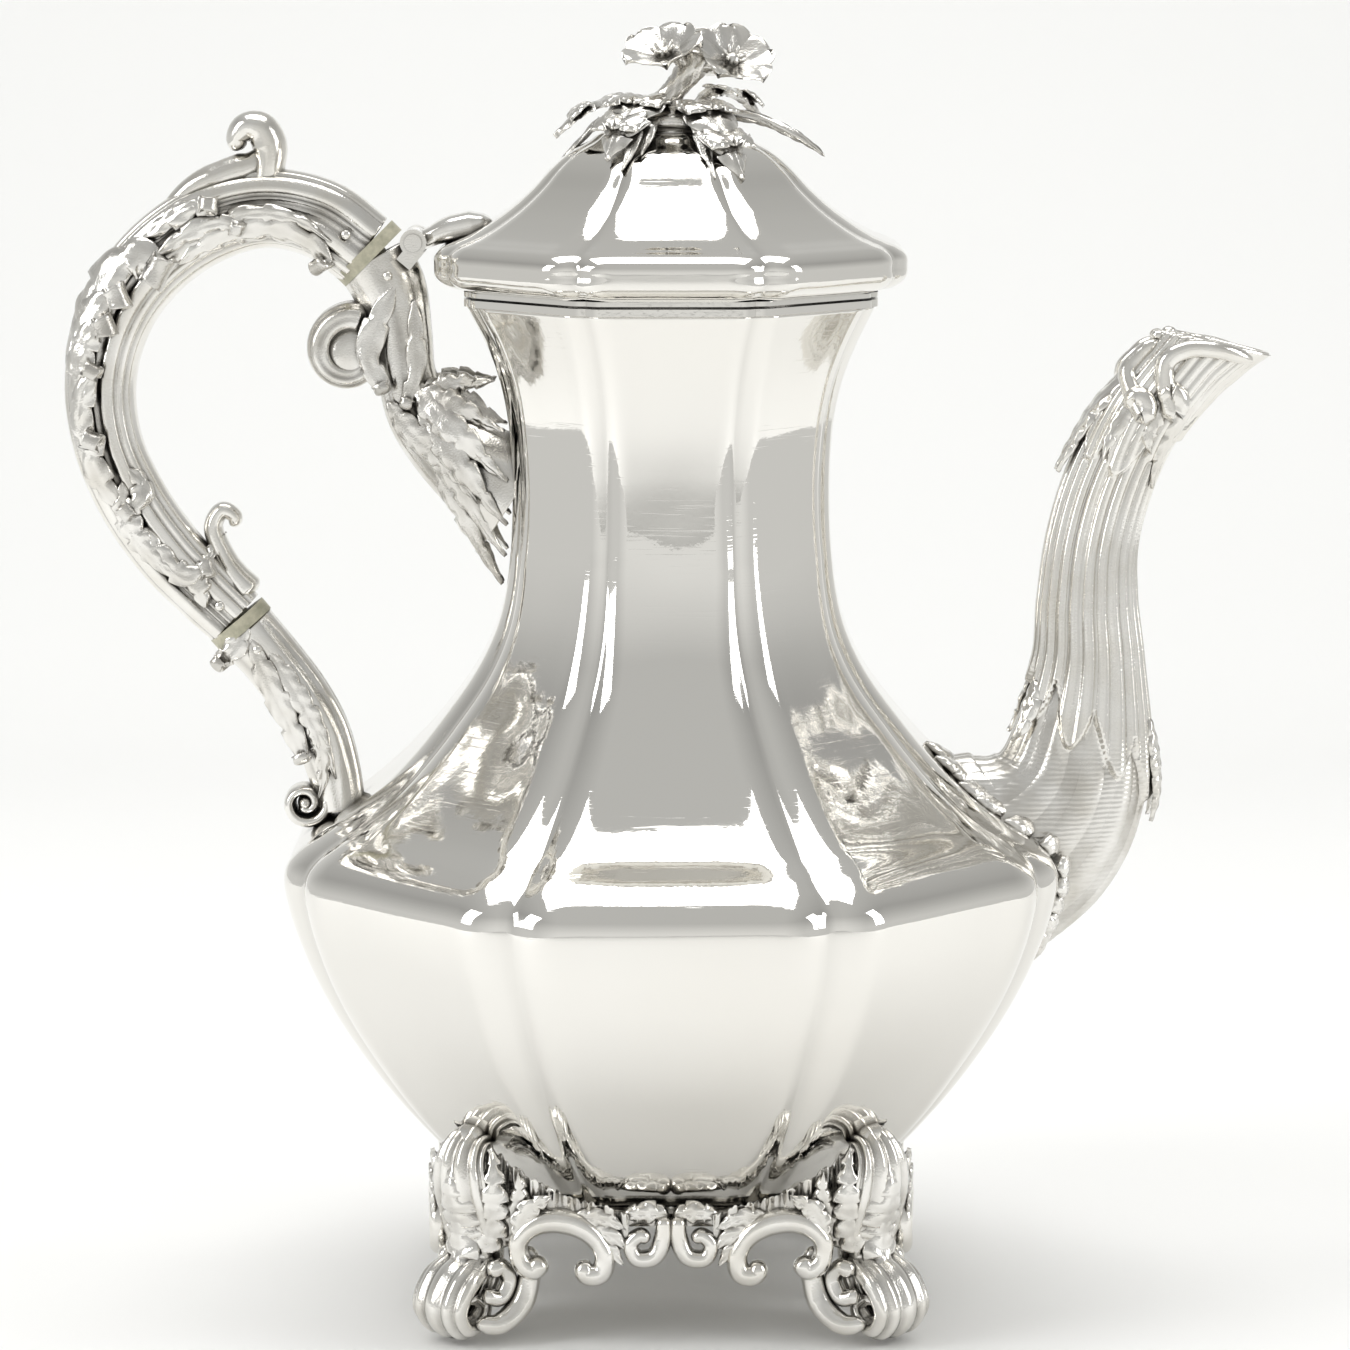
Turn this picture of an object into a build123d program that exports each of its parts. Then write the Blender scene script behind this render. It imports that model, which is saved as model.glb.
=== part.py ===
from build123d import *

import math
import os

import numpy as np

# A footed silver coffee pot, in millimetres. The origin is on the standing surface below the
# middle of the pot. +Z is up, +X points along the spout and -X along the handle.

os.makedirs("parts", exist_ok=True)

# ---------------------------------------------------------------- driving dimensions

PANELS = 8  # flat panels round the body and the lid
PANEL_HALF = math.pi / PANELS
CORNER_TURN = math.radians(52)  # how far a panel's rounded edge turns down into its groove

WALL = 0.9  # sheet thickness of the body
LID_WALL = 0.8

BODY_BOTTOM = 26.0  # height of the lower edge of the belly
RIDGE_Z = 93.2  # height of the shoulder ridge, where neck and belly are seamed
MOUTH_Z = 199.4  # height of the upper edge of the neck
BELLY_R = 76.7  # centre of the pot to the middle of a panel, at the widest place
RIDGE_R = 75.2
BASE_R = 41.5
WAIST_R = 31.4
WAIST_Z = 164.0
MOUTH_R = 40.4

MOUTH_OPENING_R = 34.6  # round opening in the mouth plate
MOUTH_PLATE = 1.4
LID_GAP = 0.5  # open joint between the mouth plate and the lid
LID_R = 46.6
LID_RISE = 31.6  # lid from its lower edge to its flat crown
CROWN_R = 15.5
BEZEL_R = 33.6
BEZEL_WALL = 0.9
BEZEL_DEPTH = 4.2
UNDERPLATE = 0.9  # flat plate that closes the lid's rim from below
CROWN_PLATE = 1.2

BASE_PLATE = 1.0
BASE_RING = 2.6
RING_STEP = 1.2  # how far the base ring stands out past the belly's lower edge
RING_IN = 4.5
RUNNING = 0.05  # radial clearance of pins and tenons
REST_GAP = 0.3  # clearance between pieces that move past each other

HINGE_X = -50.5
HINGE_Z = 211.3
HINGE_R = 2.6
HINGE_PIN_R = 1.0
KNUCKLE_HALF = 3.2  # half length of the lid's knuckle
HINGE_HALF = 8.0

COLLAR = 2.7  # thickness of an insulating collar
TENON_R = 3.0
TENON = 8.0
PIN_R = 0.9

SPOUT_WALL = 1.6
STRAINER_HOLE_R = 1.5
STRAINER_PITCH = 5.2

FOOT_CONTACT_R = 57.0  # centre of the pot to the toe of a foot
FOOT_PAD = 0.35  # how much is filed flat under each toe

STUD_R = 2.0
NUT_R = 4.2
NUT_THICK = 2.4


def save(shape, name):
    """Writes one sub-part to parts/NAME.step."""
    shape.label = name
    export_step(shape, f"parts/{name}.step")


# ---------------------------------------------------------------- panelled shells


def panel_section(apothem, corner, z):
    """One level cut through the panelled body: flat panels whose rounded edges meet in grooves."""
    groove = apothem - corner * (1 - math.cos(CORNER_TURN))
    flat = groove * math.tan(PANEL_HALF) - corner * math.sin(CORNER_TURN)
    middle = CORNER_TURN / 2
    on_arc = (
        apothem - corner * (1 - math.cos(middle)),
        flat + corner * math.sin(middle),
    )
    end = (groove, groove * math.tan(PANEL_HALF))
    edges = []
    for i in range(PANELS):
        turn = Rot(0, 0, 360 / PANELS * i)
        lower = ThreePointArc(
            (end[0], -end[1]), (on_arc[0], -on_arc[1]), (apothem, -flat)
        )
        face = Line((apothem, -flat), (apothem, flat))
        upper = ThreePointArc((apothem, flat), on_arc, end)
        edges += [turn * edge for edge in (lower, face, upper)]
    return Pos(0, 0, z) * Face(Wire(edges))


def corner_at(z, corners):
    """Radius of the panels' rounded edges at height z, from a list of (height, radius)."""
    return float(np.interp(z, [c[0] for c in corners], [c[1] for c in corners]))


def levels(profile, steps, inset=0.0, bottom=None, top=None):
    """(apothem, height) pairs along a profile, moved inwards by inset along its normal. With bottom and
    top given, the first and last pair lie exactly at those heights."""
    points = []
    for t in np.linspace(0, 1, steps):
        point, tangent = profile @ t, profile % t
        points.append((point.X - inset * tangent.Y, point.Y + inset * tangent.X))
    if bottom is None:
        return points
    inner = [p for p in points if bottom + inset < p[1] < top - inset / 2]
    return [((profile @ 0).X - inset, bottom), *inner, ((profile @ 1).X - inset, top)]


def panelled(points, corners, inset=0.0):
    """Solid through level sections, one for each (apothem, height)."""
    return loft([panel_section(r, corner_at(z, corners) - inset, z) for r, z in points])


def sides(solid):
    """The faces of a lofted solid apart from its two flat ends."""
    ends = solid.faces().sort_by(Axis.Z)
    return [face for face in solid.faces() if face not in (ends[0], ends[-1])]


def raised_shell(outside, inside):
    """Sheet metal between two lofted solids that start and end on the same levels, open at both ends."""
    faces = sides(outside) + sides(inside)
    outer_ends = outside.faces().sort_by(Axis.Z)
    inner_ends = inside.faces().sort_by(Axis.Z)
    for end in (0, -1):
        faces.append(Face(outer_ends[end].outer_wire(), [inner_ends[end].outer_wire()]))
    return Solid(Shell(faces)).fix()


# The panels' rounded edges are broad on the belly and small on the neck.
BODY_CORNERS = [(BODY_BOTTOM, 6.5), (RIDGE_Z, 8.5), (WAIST_Z, 3.2), (MOUTH_Z, 3.6)]

belly_profile = Spline(
    (BASE_R, BODY_BOTTOM),
    (54.6, 41.0),
    (66.1, 58.2),
    (73.2, 72.0),
    (BELLY_R, 86.2),
    (RIDGE_R, RIDGE_Z),
)
neck_profile = Spline(
    (RIDGE_R, RIDGE_Z),
    (71.2, 95.4),
    (58.0, 104.3),
    (45.6, 117.4),
    (35.4, 132.0),
    (WAIST_R + 0.2, 150.0),
    (WAIST_R, WAIST_Z),
    (33.4, 184.0),
    (MOUTH_R, MOUTH_Z),
    tangents=[(-0.62, 0.78), (0.5, 0.86)],
)

BELLY_STEPS = 12
NECK_STEPS = 18
belly_outside = panelled(levels(belly_profile, BELLY_STEPS), BODY_CORNERS)
neck_outside = panelled(levels(neck_profile, NECK_STEPS), BODY_CORNERS)
belly_inside = panelled(
    levels(belly_profile, BELLY_STEPS, WALL, BODY_BOTTOM, RIDGE_Z), BODY_CORNERS, WALL
)
neck_inside = panelled(
    levels(neck_profile, NECK_STEPS, WALL, RIDGE_Z, MOUTH_Z), BODY_CORNERS, WALL
)
body_outside = belly_outside + neck_outside

# Holes bored through the belly behind the spout keep the grounds back.
strainer = []
for row, count in ((-1, 4), (0, 5), (1, 4)):
    for k in range(count):
        y = (k - (count - 1) / 2) * STRAINER_PITCH
        z = 82.0 + row * STRAINER_PITCH * 0.9
        strainer.append(
            Pos(BELLY_R, y, z) * Rot(0, 90, 0) * Cylinder(STRAINER_HOLE_R, 30)
        )

belly_shell = raised_shell(belly_outside, belly_inside) - strainer
neck_shell = raised_shell(neck_outside, neck_inside)
save(belly_shell, "belly_shell")
save(neck_shell, "neck_shell")

base_section = panel_section(BASE_R, BODY_CORNERS[0][1], 0)
base_plate = Pos(0, 0, BODY_BOTTOM - BASE_PLATE) * extrude(base_section, BASE_PLATE)
save(base_plate, "base_plate")

RING_TOP = BODY_BOTTOM - BASE_PLATE
ring_outer = panel_section(BASE_R + RING_STEP, BODY_CORNERS[0][1], 0)
ring_inner = panel_section(BASE_R - RING_IN, 3.0, 0)
base_ring = Pos(0, 0, RING_TOP - BASE_RING) * extrude(
    ring_outer - ring_inner, BASE_RING
)
save(base_ring, "base_ring")

mouth_section = panel_section(MOUTH_R, BODY_CORNERS[-1][1], 0)
mouth_plate = extrude(mouth_section, MOUTH_PLATE)
mouth_plate = Pos(0, 0, MOUTH_Z) * (mouth_plate - Cylinder(MOUTH_OPENING_R, 9))
save(mouth_plate, "mouth_plate")

# ---------------------------------------------------------------- lid

LID_Z = MOUTH_Z + MOUTH_PLATE + LID_GAP
RIM_Z = LID_Z + UNDERPLATE
CROWN_Z = LID_Z + LID_RISE
DOME_TOP = CROWN_Z - CROWN_PLATE
LID_STEPS = 18
# The rim's rounded edges are broad and the crown's are small.
LID_CORNERS = [(RIM_Z, 4.0), (LID_Z + 6, 5.5), (LID_Z + 14, 4.0), (DOME_TOP, 2.4)]
lid_profile = Spline(
    (MOUTH_R, RIM_Z),
    (LID_R - 1.6, LID_Z + 2.6),
    (LID_R, LID_Z + 5.8),
    (LID_R - 2.4, LID_Z + 9.4),
    (36.6, LID_Z + 13.4),
    (26.6, LID_Z + 20.6),
    (20.2, LID_Z + 27.4),
    (CROWN_R, DOME_TOP),
    tangents=[(0.94, 0.34), (-0.86, 0.5)],
)
lid_outside = panelled(levels(lid_profile, LID_STEPS), LID_CORNERS)
lid_inside = panelled(
    levels(lid_profile, LID_STEPS, LID_WALL, RIM_Z, DOME_TOP), LID_CORNERS, LID_WALL
)
lid_shell = raised_shell(lid_outside, lid_inside)
save(lid_shell, "lid_shell")

crown_plate = extrude(panel_section(CROWN_R, LID_CORNERS[-1][1], 0), CROWN_PLATE)
save(Pos(0, 0, DOME_TOP) * (crown_plate - Cylinder(STUD_R, 9)), "lid_crown_plate")

underplate = extrude(panel_section(MOUTH_R, LID_CORNERS[0][1], 0), UNDERPLATE)
save(Pos(0, 0, LID_Z) * (underplate - Cylinder(BEZEL_R, 9)), "lid_underplate")

bezel_tube = Cylinder(BEZEL_R, BEZEL_DEPTH + UNDERPLATE) - Cylinder(
    BEZEL_R - BEZEL_WALL, 4 * BEZEL_DEPTH
)
save(Pos(0, 0, RIM_Z - (BEZEL_DEPTH + UNDERPLATE) / 2) * bezel_tube, "lid_bezel")

# ---------------------------------------------------------------- tubes along a path in the XZ plane


def station(x, z, heading):
    """Plane across a path at (x, z). Its normal points along heading, in degrees above +X."""
    a = math.radians(heading)
    return Plane(
        origin=(x, 0, z), x_dir=(0, 1, 0), z_dir=(math.cos(a), 0, math.sin(a))
    )


def tube(stations, inset=0.0):
    """Solid of oval cuts. Each station is (x, z, heading, height in the XZ plane, width along Y)."""
    cuts = [
        station(x, z, heading) * Ellipse(width / 2 - inset, height / 2 - inset)
        for x, z, heading, height, width in stations
    ]
    return loft(cuts)


def lying_cylinder(x, z, radius, length):
    """Cylinder along Y, centred on the XZ plane."""
    return Pos(x, 0, z) * Rot(90, 0, 0) * Cylinder(radius, length)


# ---------------------------------------------------------------- spout

SPOUT = [
    (61.0, 86.0, 28, 50.0, 32.0),
    (73.5, 93.0, 40, 43.0, 28.0),
    (79.8, 101.7, 60, 36.0, 24.5),
    (82.2, 113.5, 82, 29.6, 20.5),
    (83.5, 127.4, 91, 23.4, 18.0),
    (83.2, 139.5, 89, 20.8, 17.0),
    (84.0, 151.6, 81, 19.0, 16.0),
    (87.4, 164.2, 67, 18.2, 15.5),
    (93.3, 176.0, 55, 17.2, 15.0),
    (101.6, 186.0, 46, 16.6, 14.0),
    (107.2, 191.0, 38, 16.6, 13.0),
    (121.0, 196.6, 29, 15.6, 10.0),
]
SPOUT_LIP = (96.8, 193.9)  # the back of the oblique mouth
SPOUT_TIP = (120.6, 188.4)
lip_slope = math.degrees(
    math.atan2(SPOUT_TIP[1] - SPOUT_LIP[1], SPOUT_TIP[0] - SPOUT_LIP[0])
)
above_mouth = Pos(SPOUT_LIP[0], 0, SPOUT_LIP[1]) * Rot(0, -lip_slope, 0) * Pos(10, 0, 30) * Box(90, 60, 60)

spout_outside = tube(SPOUT)
spout_channel = tube(SPOUT, inset=SPOUT_WALL)
spout = spout_outside - above_mouth - body_outside - spout_channel
for side, name in ((-1, "spout_near_half"), (1, "spout_far_half")):
    half_space = Pos(90, side * 30, 130) * Box(120, 60, 200)
    save(spout & half_space, name)

# ---------------------------------------------------------------- handle

UPPER_COLLAR = (-59.7, 208.7, 315)  # middle and heading of the upper insulating collar
LOWER_COLLAR = (-86.0, 134.7, 310)


def beside_collar(collar, along):
    """Point on the collar's axis, along millimetres past its middle."""
    x, z, heading = collar
    a = math.radians(heading)
    return x + along * math.cos(a), z + along * math.sin(a)


def on_collar_axis(collar, shape):
    """Places a shape that is modelled along +Z on the collar's axis."""
    return station(*collar).location * shape


def insulator(collar, height, width):
    """A collar with a round tenon on each side, turned and filed from one piece."""
    disc = extrude(Ellipse(width / 2, height / 2), COLLAR / 2, both=True)
    tenons = Cylinder(TENON_R, COLLAR + 2 * TENON)
    return on_collar_axis(collar, disc + tenons)


def cross_pins(collar):
    """Two pins along Y, one through each tenon."""
    pins = []
    for side in (-1, 1):
        x, z = beside_collar(collar, side * (COLLAR / 2 + TENON * 0.55))
        pins.append((x, z))
    return pins


def mortise(collar):
    """Clearance for the tenons of an insulator."""
    return on_collar_axis(
        collar, Cylinder(TENON_R + RUNNING, COLLAR + 2 * (TENON + RUNNING))
    )


GRIP_START = beside_collar(UPPER_COLLAR, -COLLAR / 2)
GRIP_END = beside_collar(LOWER_COLLAR, -COLLAR / 2)
GRIP = [
    (*GRIP_START, 135, 15.6, 12.5),
    (-69.5, 215.6, 156, 16.2, 13.0),
    (-80.5, 217.5, 180, 16.2, 13.0),
    (-92.5, 214.3, 208, 16.4, 13.0),
    (-102.8, 206.5, 226, 16.0, 13.0),
    (-110.0, 196.0, 243, 15.0, 13.0),
    (-113.3, 184.0, 263, 14.3, 12.5),
    (-112.2, 171.5, 279, 13.9, 12.0),
    (-107.4, 159.7, 294, 14.2, 12.0),
    (-100.3, 149.5, 309, 14.2, 12.0),
    (-93.0, 141.8, 314, 13.8, 11.5),
    (*GRIP_END, 310, 13.0, 11.0),
]
THUMB = [
    (-92.0, 219.0, 20, 6.0, 6.0),
    (-86.0, 223.6, 40, 5.6, 6.5),
    (-81.2, 229.5, 62, 5.6, 7.0),
    (-80.4, 233.4, 92, 7.6, 7.6),
]
thumb_scroll = tube(THUMB) + Pos(-80.6, 0, 233.0) * Sphere(4.8)
SPUR = [
    (-84.0, 141.5, 120, 8.0, 8.0),
    (-90.2, 150.4, 112, 5.4, 6.5),
    (-90.6, 155.6, 80, 5.0, 6.0),
]
spur_scroll = tube(SPUR) + Pos(-89.6, 0, 156.6) * Sphere(3.4)

LOWER_SOCKET = [
    (*beside_collar(LOWER_COLLAR, COLLAR / 2), 310, 13.0, 11.0),
    (-79.6, 127.8, 308, 12.6, 11.0),
    (-74.2, 120.2, 301, 12.4, 11.0),
    (-70.0, 112.6, 293, 12.0, 10.5),
    (-67.4, 104.5, 281, 10.8, 10.0),
    (-66.0, 94.0, 274, 10.0, 9.5),
]
LOWER_VOLUTE = (-73.8, 98.6)
LOWER_VOLUTE_R = 5.3
lower_volute = lying_cylinder(*LOWER_VOLUTE, LOWER_VOLUTE_R, 9.0)

UPPER_SOCKET = [
    (*beside_collar(UPPER_COLLAR, COLLAR / 2), 315, 15.6, 12.5),
    (-55.4, 201.6, 297, 15.5, 12.5),
    (-52.8, 193.0, 280, 13.0, 12.0),
    (-52.0, 184.6, 280, 12.0, 12.0),
    (-49.6, 177.6, 297, 14.5, 13.0),
    (-44.3, 171.2, 312, 17.5, 15.5),
    (-36.5, 165.0, 320, 24.0, 19.0),
    (-26.0, 158.0, 325, 32.0, 22.0),
]
UPPER_VOLUTE = (-63.6, 188.8)
UPPER_VOLUTE_R = 7.2
upper_volute = lying_cylinder(*UPPER_VOLUTE, UPPER_VOLUTE_R, 10.0)

UPPER_PINS = cross_pins(UPPER_COLLAR)
LOWER_PINS = cross_pins(LOWER_COLLAR)
pin_holes = [lying_cylinder(x, z, PIN_R, 40) for x, z in UPPER_PINS + LOWER_PINS]

handle_grip = (
    tube(GRIP) + thumb_scroll + spur_scroll
    - mortise(UPPER_COLLAR) - mortise(LOWER_COLLAR) - pin_holes
)
save(handle_grip, "handle_grip")

lower_socket = (
    tube(LOWER_SOCKET) + lower_volute - mortise(LOWER_COLLAR) - pin_holes - body_outside
)
save(lower_socket, "handle_lower_socket")

hinge_space = lying_cylinder(
    HINGE_X, HINGE_Z, HINGE_R + REST_GAP, 2 * (KNUCKLE_HALF + REST_GAP)
)
lid_space = Pos(0, 0, LID_Z - 1.5) * Cylinder(
    LID_R + 1.0, 60, align=(Align.CENTER, Align.CENTER, Align.MIN)
)
upper_socket = (
    tube(UPPER_SOCKET) + upper_volute
    - mortise(UPPER_COLLAR) - pin_holes - hinge_space - lid_space - body_outside
)
save(upper_socket, "handle_upper_socket")

UPPER_COLLAR_SIZE = (15.8, 13.0)  # height in the plane of the handle, and width
upper_insulator = insulator(UPPER_COLLAR, *UPPER_COLLAR_SIZE) - pin_holes
save(upper_insulator, "upper_insulator")
save(insulator(LOWER_COLLAR, 13.4, 11.6) - pin_holes, "lower_insulator")


def cross_pin_group(places, length):
    """Plain pins along Y at the places given, as separate solids."""
    return Compound(children=[lying_cylinder(x, z, PIN_R, length).solid() for x, z in places])


save(cross_pin_group(UPPER_PINS, 13.4), "upper_insulator_pins")
save(cross_pin_group(LOWER_PINS, 12.2), "lower_insulator_pins")

# ---------------------------------------------------------------- hinge

OUTER_LENGTH = HINGE_HALF - KNUCKLE_HALF - REST_GAP
OUTER_MIDDLE = KNUCKLE_HALF + REST_GAP + OUTER_LENGTH / 2
pin_bore = lying_cylinder(HINGE_X, HINGE_Z, HINGE_PIN_R, 40)
running_bore = lying_cylinder(HINGE_X, HINGE_Z, HINGE_PIN_R + RUNNING, 40)

outer_knuckles = []
for side in (-1, 1):
    barrel = Rot(90, 0, 0) * Cylinder(HINGE_R, OUTER_LENGTH)
    web = Pos(-0.6, 0, -2.6) * Rot(0, 40, 0) * Box(3.4, OUTER_LENGTH, 4.4)
    knuckle = Pos(HINGE_X, side * OUTER_MIDDLE, HINGE_Z) * (barrel + web)
    knuckle = knuckle - pin_bore - upper_socket - upper_insulator
    outer_knuckles.append(knuckle.solids().sort_by(SortBy.VOLUME)[-1])
save(Compound(children=outer_knuckles), "hinge_knuckles")

pin_head = Cylinder(HINGE_PIN_R + 0.7, 0.8)
hinge_pin = Cylinder(HINGE_PIN_R, 2 * HINGE_HALF)
for side in (-1, 1):
    hinge_pin += Pos(0, 0, side * (HINGE_HALF + 0.4)) * pin_head
save(Pos(HINGE_X, 0, HINGE_Z) * Rot(90, 0, 0) * hinge_pin, "hinge_pin")

# The strap rises from the lid's knuckle and lies along the lid's slope.
STRAP_HALF = 5.0
strap_outline = Polyline(
    (HINGE_X + 0.4, HINGE_Z - 1.6),
    (HINGE_X + 0.4, HINGE_Z + 2.2),
    (HINGE_X + 5.2, HINGE_Z + 5.4),
    (HINGE_X + 13.5, HINGE_Z + 6.4),
    (HINGE_X + 15.6, HINGE_Z + 5.2),
    (HINGE_X + 9.0, HINGE_Z - 4.0),
    (HINGE_X + 4.6, HINGE_Z - 3.0),
    close=True,
)
strap = Rot(90, 0, 0) * extrude(Face(Wire(strap_outline.edges())), STRAP_HALF, both=True)
beside_knuckle = [
    Pos(HINGE_X, side * (KNUCKLE_HALF + 15), HINGE_Z) * Rot(90, 0, 0) * Cylinder(HINGE_R + 0.5, 30)
    for side in (-1, 1)
]
lid_knuckle = lying_cylinder(HINGE_X, HINGE_Z, HINGE_R, 2 * KNUCKLE_HALF)
hinge_strap = (strap - beside_knuckle) + lid_knuckle - running_bore - lid_outside
save(hinge_strap.solids().sort_by(SortBy.VOLUME)[-1], "hinge_strap")

# ---------------------------------------------------------------- feet

# Each station of a foot is (distance from the middle of the pot, z, heading, height, width).
FOOT_LEG = [
    (51.0, 40.0, 350, 6.0, 9.0),
    (56.0, 36.5, 310, 9.0, 14.0),
    (57.6, 30.0, 268, 9.6, 14.5),
    (55.0, 22.5, 245, 9.4, 12.5),
    (52.4, 15.5, 262, 9.4, 11.0),
    (54.0, 8.6, 300, 9.4, 12.0),
    (FOOT_CONTACT_R, 5.6, 330, 9.0, 12.0),
]
TOE_R = 5.7
toe = lying_cylinder(FOOT_CONTACT_R + 1.4, TOE_R - FOOT_PAD, TOE_R, 13.0)

# One wing, drawn on the face of a panel as (distance along the face, z).
WING_SHOULDER = (35.0, 30.0)
wing_outline = Wire(
    [
        Spline(
            (1.0, 22.6),
            (5.4, 24.6),
            (10.6, 25.8),
            (19.0, 26.4),
            (27.0, 29.4),
            WING_SHOULDER,
        ),
        Line(WING_SHOULDER, (35.0, 17.0)),
        Spline(
            (35.0, 17.0),
            (29.0, 19.6),
            (24.0, 18.6),
            (18.4, 13.0),
            (12.6, 14.4),
            (9.0, 18.6),
            (4.6, 15.6),
            (1.0, 17.6),
        ),
        Line((1.0, 17.6), (1.0, 22.6)),
    ]
)
# The wings hug the base ring and then flare with the belly.
WING_THICK = 3.2
SKIRT = BASE_R + RING_STEP + WING_THICK
wing_band = panelled(
    [(SKIRT, 10.0), (SKIRT, 17.0), (SKIRT, 23.0), (SKIRT + 2.6, 28.0), (SKIRT + 9.0, 35.0)],
    BODY_CORNERS,
)
behind_wings = extrude(panel_section(BASE_R + RING_STEP, BODY_CORNERS[0][1], 0), BODY_BOTTOM)
wing = (extrude(Plane.YZ * Face(wing_outline), 80) & wing_band) - behind_wings

FOOT_ROOT_R = 7.0
foot_root = Pos(49.5, 0, BODY_BOTTOM) * Rot(0, 90, 0) * Cylinder(FOOT_ROOT_R, 13)
leg = tube(FOOT_LEG) + toe + foot_root
below_floor = Cylinder(200, 40, align=(Align.CENTER, Align.CENTER, Align.MAX))
foot = Rot(0, 0, 45) * leg + wing + mirror(wing, Plane(origin=(0, 0, 0), z_dir=(1, -1, 0)))
foot = foot - body_outside - base_ring - base_plate - below_floor
FOOT_NAMES = ("foot_back_right", "foot_back_left", "foot_front_left", "foot_front_right")
for k, name in enumerate(FOOT_NAMES):
    placed = Rot(0, 0, 90 * k) * foot.solids().sort_by(SortBy.VOLUME)[-1]
    save(placed, name)

# ---------------------------------------------------------------- finial

NUT_BOTTOM = DOME_TOP - NUT_THICK
nut = extrude(RegularPolygon(NUT_R, 6), NUT_THICK) - Cylinder(STUD_R, 20)
save(Pos(0, 0, NUT_BOTTOM) * nut, "finial_nut")

BOSS_R = 11.0
BOSS_RISE = 5.4
boss = Pos(0, 0, CROWN_Z) * (
    Cylinder(BOSS_R, BOSS_RISE, align=(Align.CENTER, Align.CENTER, Align.MIN))
    & Pos(0, 0, BOSS_RISE - 14) * Sphere(14)
)
boss = boss - Pos(0, 0, CROWN_Z) * Cylinder(STUD_R, 60)
STUD_BOTTOM = NUT_BOTTOM - 1.6
STUD_TOP = CROWN_Z + BOSS_RISE + 1.0
stud = Cylinder(STUD_R, STUD_TOP - STUD_BOTTOM, align=(Align.CENTER, Align.CENTER, Align.MIN))
stud = Pos(0, 0, STUD_BOTTOM) * stud
save(stud, "finial_stud")

STEM = [
    (-3.0, CROWN_Z + 3.6, 40, 4.6, 5.0),
    (0.6, CROWN_Z + 7.6, 48, 4.4, 4.8),
    (3.2, CROWN_Z + 10.2, 52, 4.0, 4.2),
    (5.4, CROWN_Z + 12.6, 46, 3.6, 3.8),
]
FLOWER_R = 8.0
FLOWER_DEPTH = 4.4
PETALS = 5
PETAL_SHEET = 1.1


def petal_outline():
    """Flat outline of a flower: round petals side by side on a small disc."""
    outline = Circle(FLOWER_R * 0.5)
    for k in range(PETALS):
        outline += Rot(0, 0, 360 / PETALS * k) * Pos(FLOWER_R * 0.56, 0) * Circle(FLOWER_R * 0.44)
    return outline


def flower():
    """Five petals cut from a shallow bowl that opens towards +Z, with a button in the middle."""
    ball_r = (FLOWER_R**2 + FLOWER_DEPTH**2) / (2 * FLOWER_DEPTH)
    bowl = Pos(0, 0, ball_r) * (Sphere(ball_r) - Sphere(ball_r - PETAL_SHEET))
    petals = extrude(petal_outline(), FLOWER_DEPTH) & bowl
    return petals + Pos(0, 0, 1.4) * Sphere(2.0)


FLOWERS = {
    "finial_flower_left": ((-1.2, -2.6, CROWN_Z + 14.4), (-0.20, -0.45, 0.87)),
    "finial_flower_right": ((11.6, -0.8, CROWN_Z + 13.4), (0.30, -0.60, 0.74)),
    "finial_flower_back": ((6.2, 7.6, CROWN_Z + 12.8), (0.10, 0.60, 0.79)),
}
STALK_R = 1.5
stalk_foot = Vector(3.0, 0, CROWN_Z + 9.6)
stem = tube(STEM)
for place, facing in FLOWERS.values():
    stalk = Vector(*place) - stalk_foot
    stem += Plane(origin=stalk_foot, z_dir=stalk).location * Cylinder(
        STALK_R, stalk.length + 0.5, align=(Align.CENTER, Align.CENTER, Align.MIN)
    )
stem = stem - stud
placed_flowers = []
for name, (place, facing) in FLOWERS.items():
    bloom = Plane(origin=place, z_dir=facing).location * flower() - stem
    for other in placed_flowers:
        bloom = bloom - other
    bloom = bloom.solids().sort_by(SortBy.VOLUME)[-1]
    placed_flowers.append(bloom)
    save(bloom, name)
save(stem.solids().sort_by(SortBy.VOLUME)[-1], "finial_stem")

# Leaf: (turn about the pot's axis, length, half width, rise of its middle, rise of its tip).
LEAVES = {
    "finial_leaf_left": (182, 23.5, 6.0, 3.6, -0.6),
    "finial_leaf_front_left": (236, 23.4, 6.5, 2.6, -7.0),
    "finial_leaf_front_right": (304, 26.0, 6.5, 2.6, -12.4),
    "finial_leaf_right": (22, 20.0, 6.0, 3.6, -1.6),
    "finial_leaf_back": (112, 20.0, 6.5, 2.4, -2.0),
}
LEAF_SHEET = 1.0


def leaf(length, half_width, middle_rise, tip_rise):
    """A leaf along +X: a pointed outline cut from a sheet that arches in its long direction."""
    top = Spline((2.0, 0.0), (length * 0.5, middle_rise), (length, tip_rise))
    side = Spline((2.0, 1.6), (length * 0.45, half_width), (length, 0.0))
    sheet_edges = [
        top,
        Line(top @ 1, (length, tip_rise - LEAF_SHEET)),
        Spline(
            (length, tip_rise - LEAF_SHEET),
            (length * 0.5, middle_rise - LEAF_SHEET),
            (2.0, -LEAF_SHEET),
        ),
        Line((2.0, -LEAF_SHEET), (2.0, 0.0)),
    ]
    sheet = extrude(Plane.XZ * Face(Wire(sheet_edges)), 20, both=True)
    outline = make_face([side, mirror(side, Plane.XZ), Line((2.0, -1.6), (2.0, 1.6))])
    return extrude(outline, 40, both=True) & sheet


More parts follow.
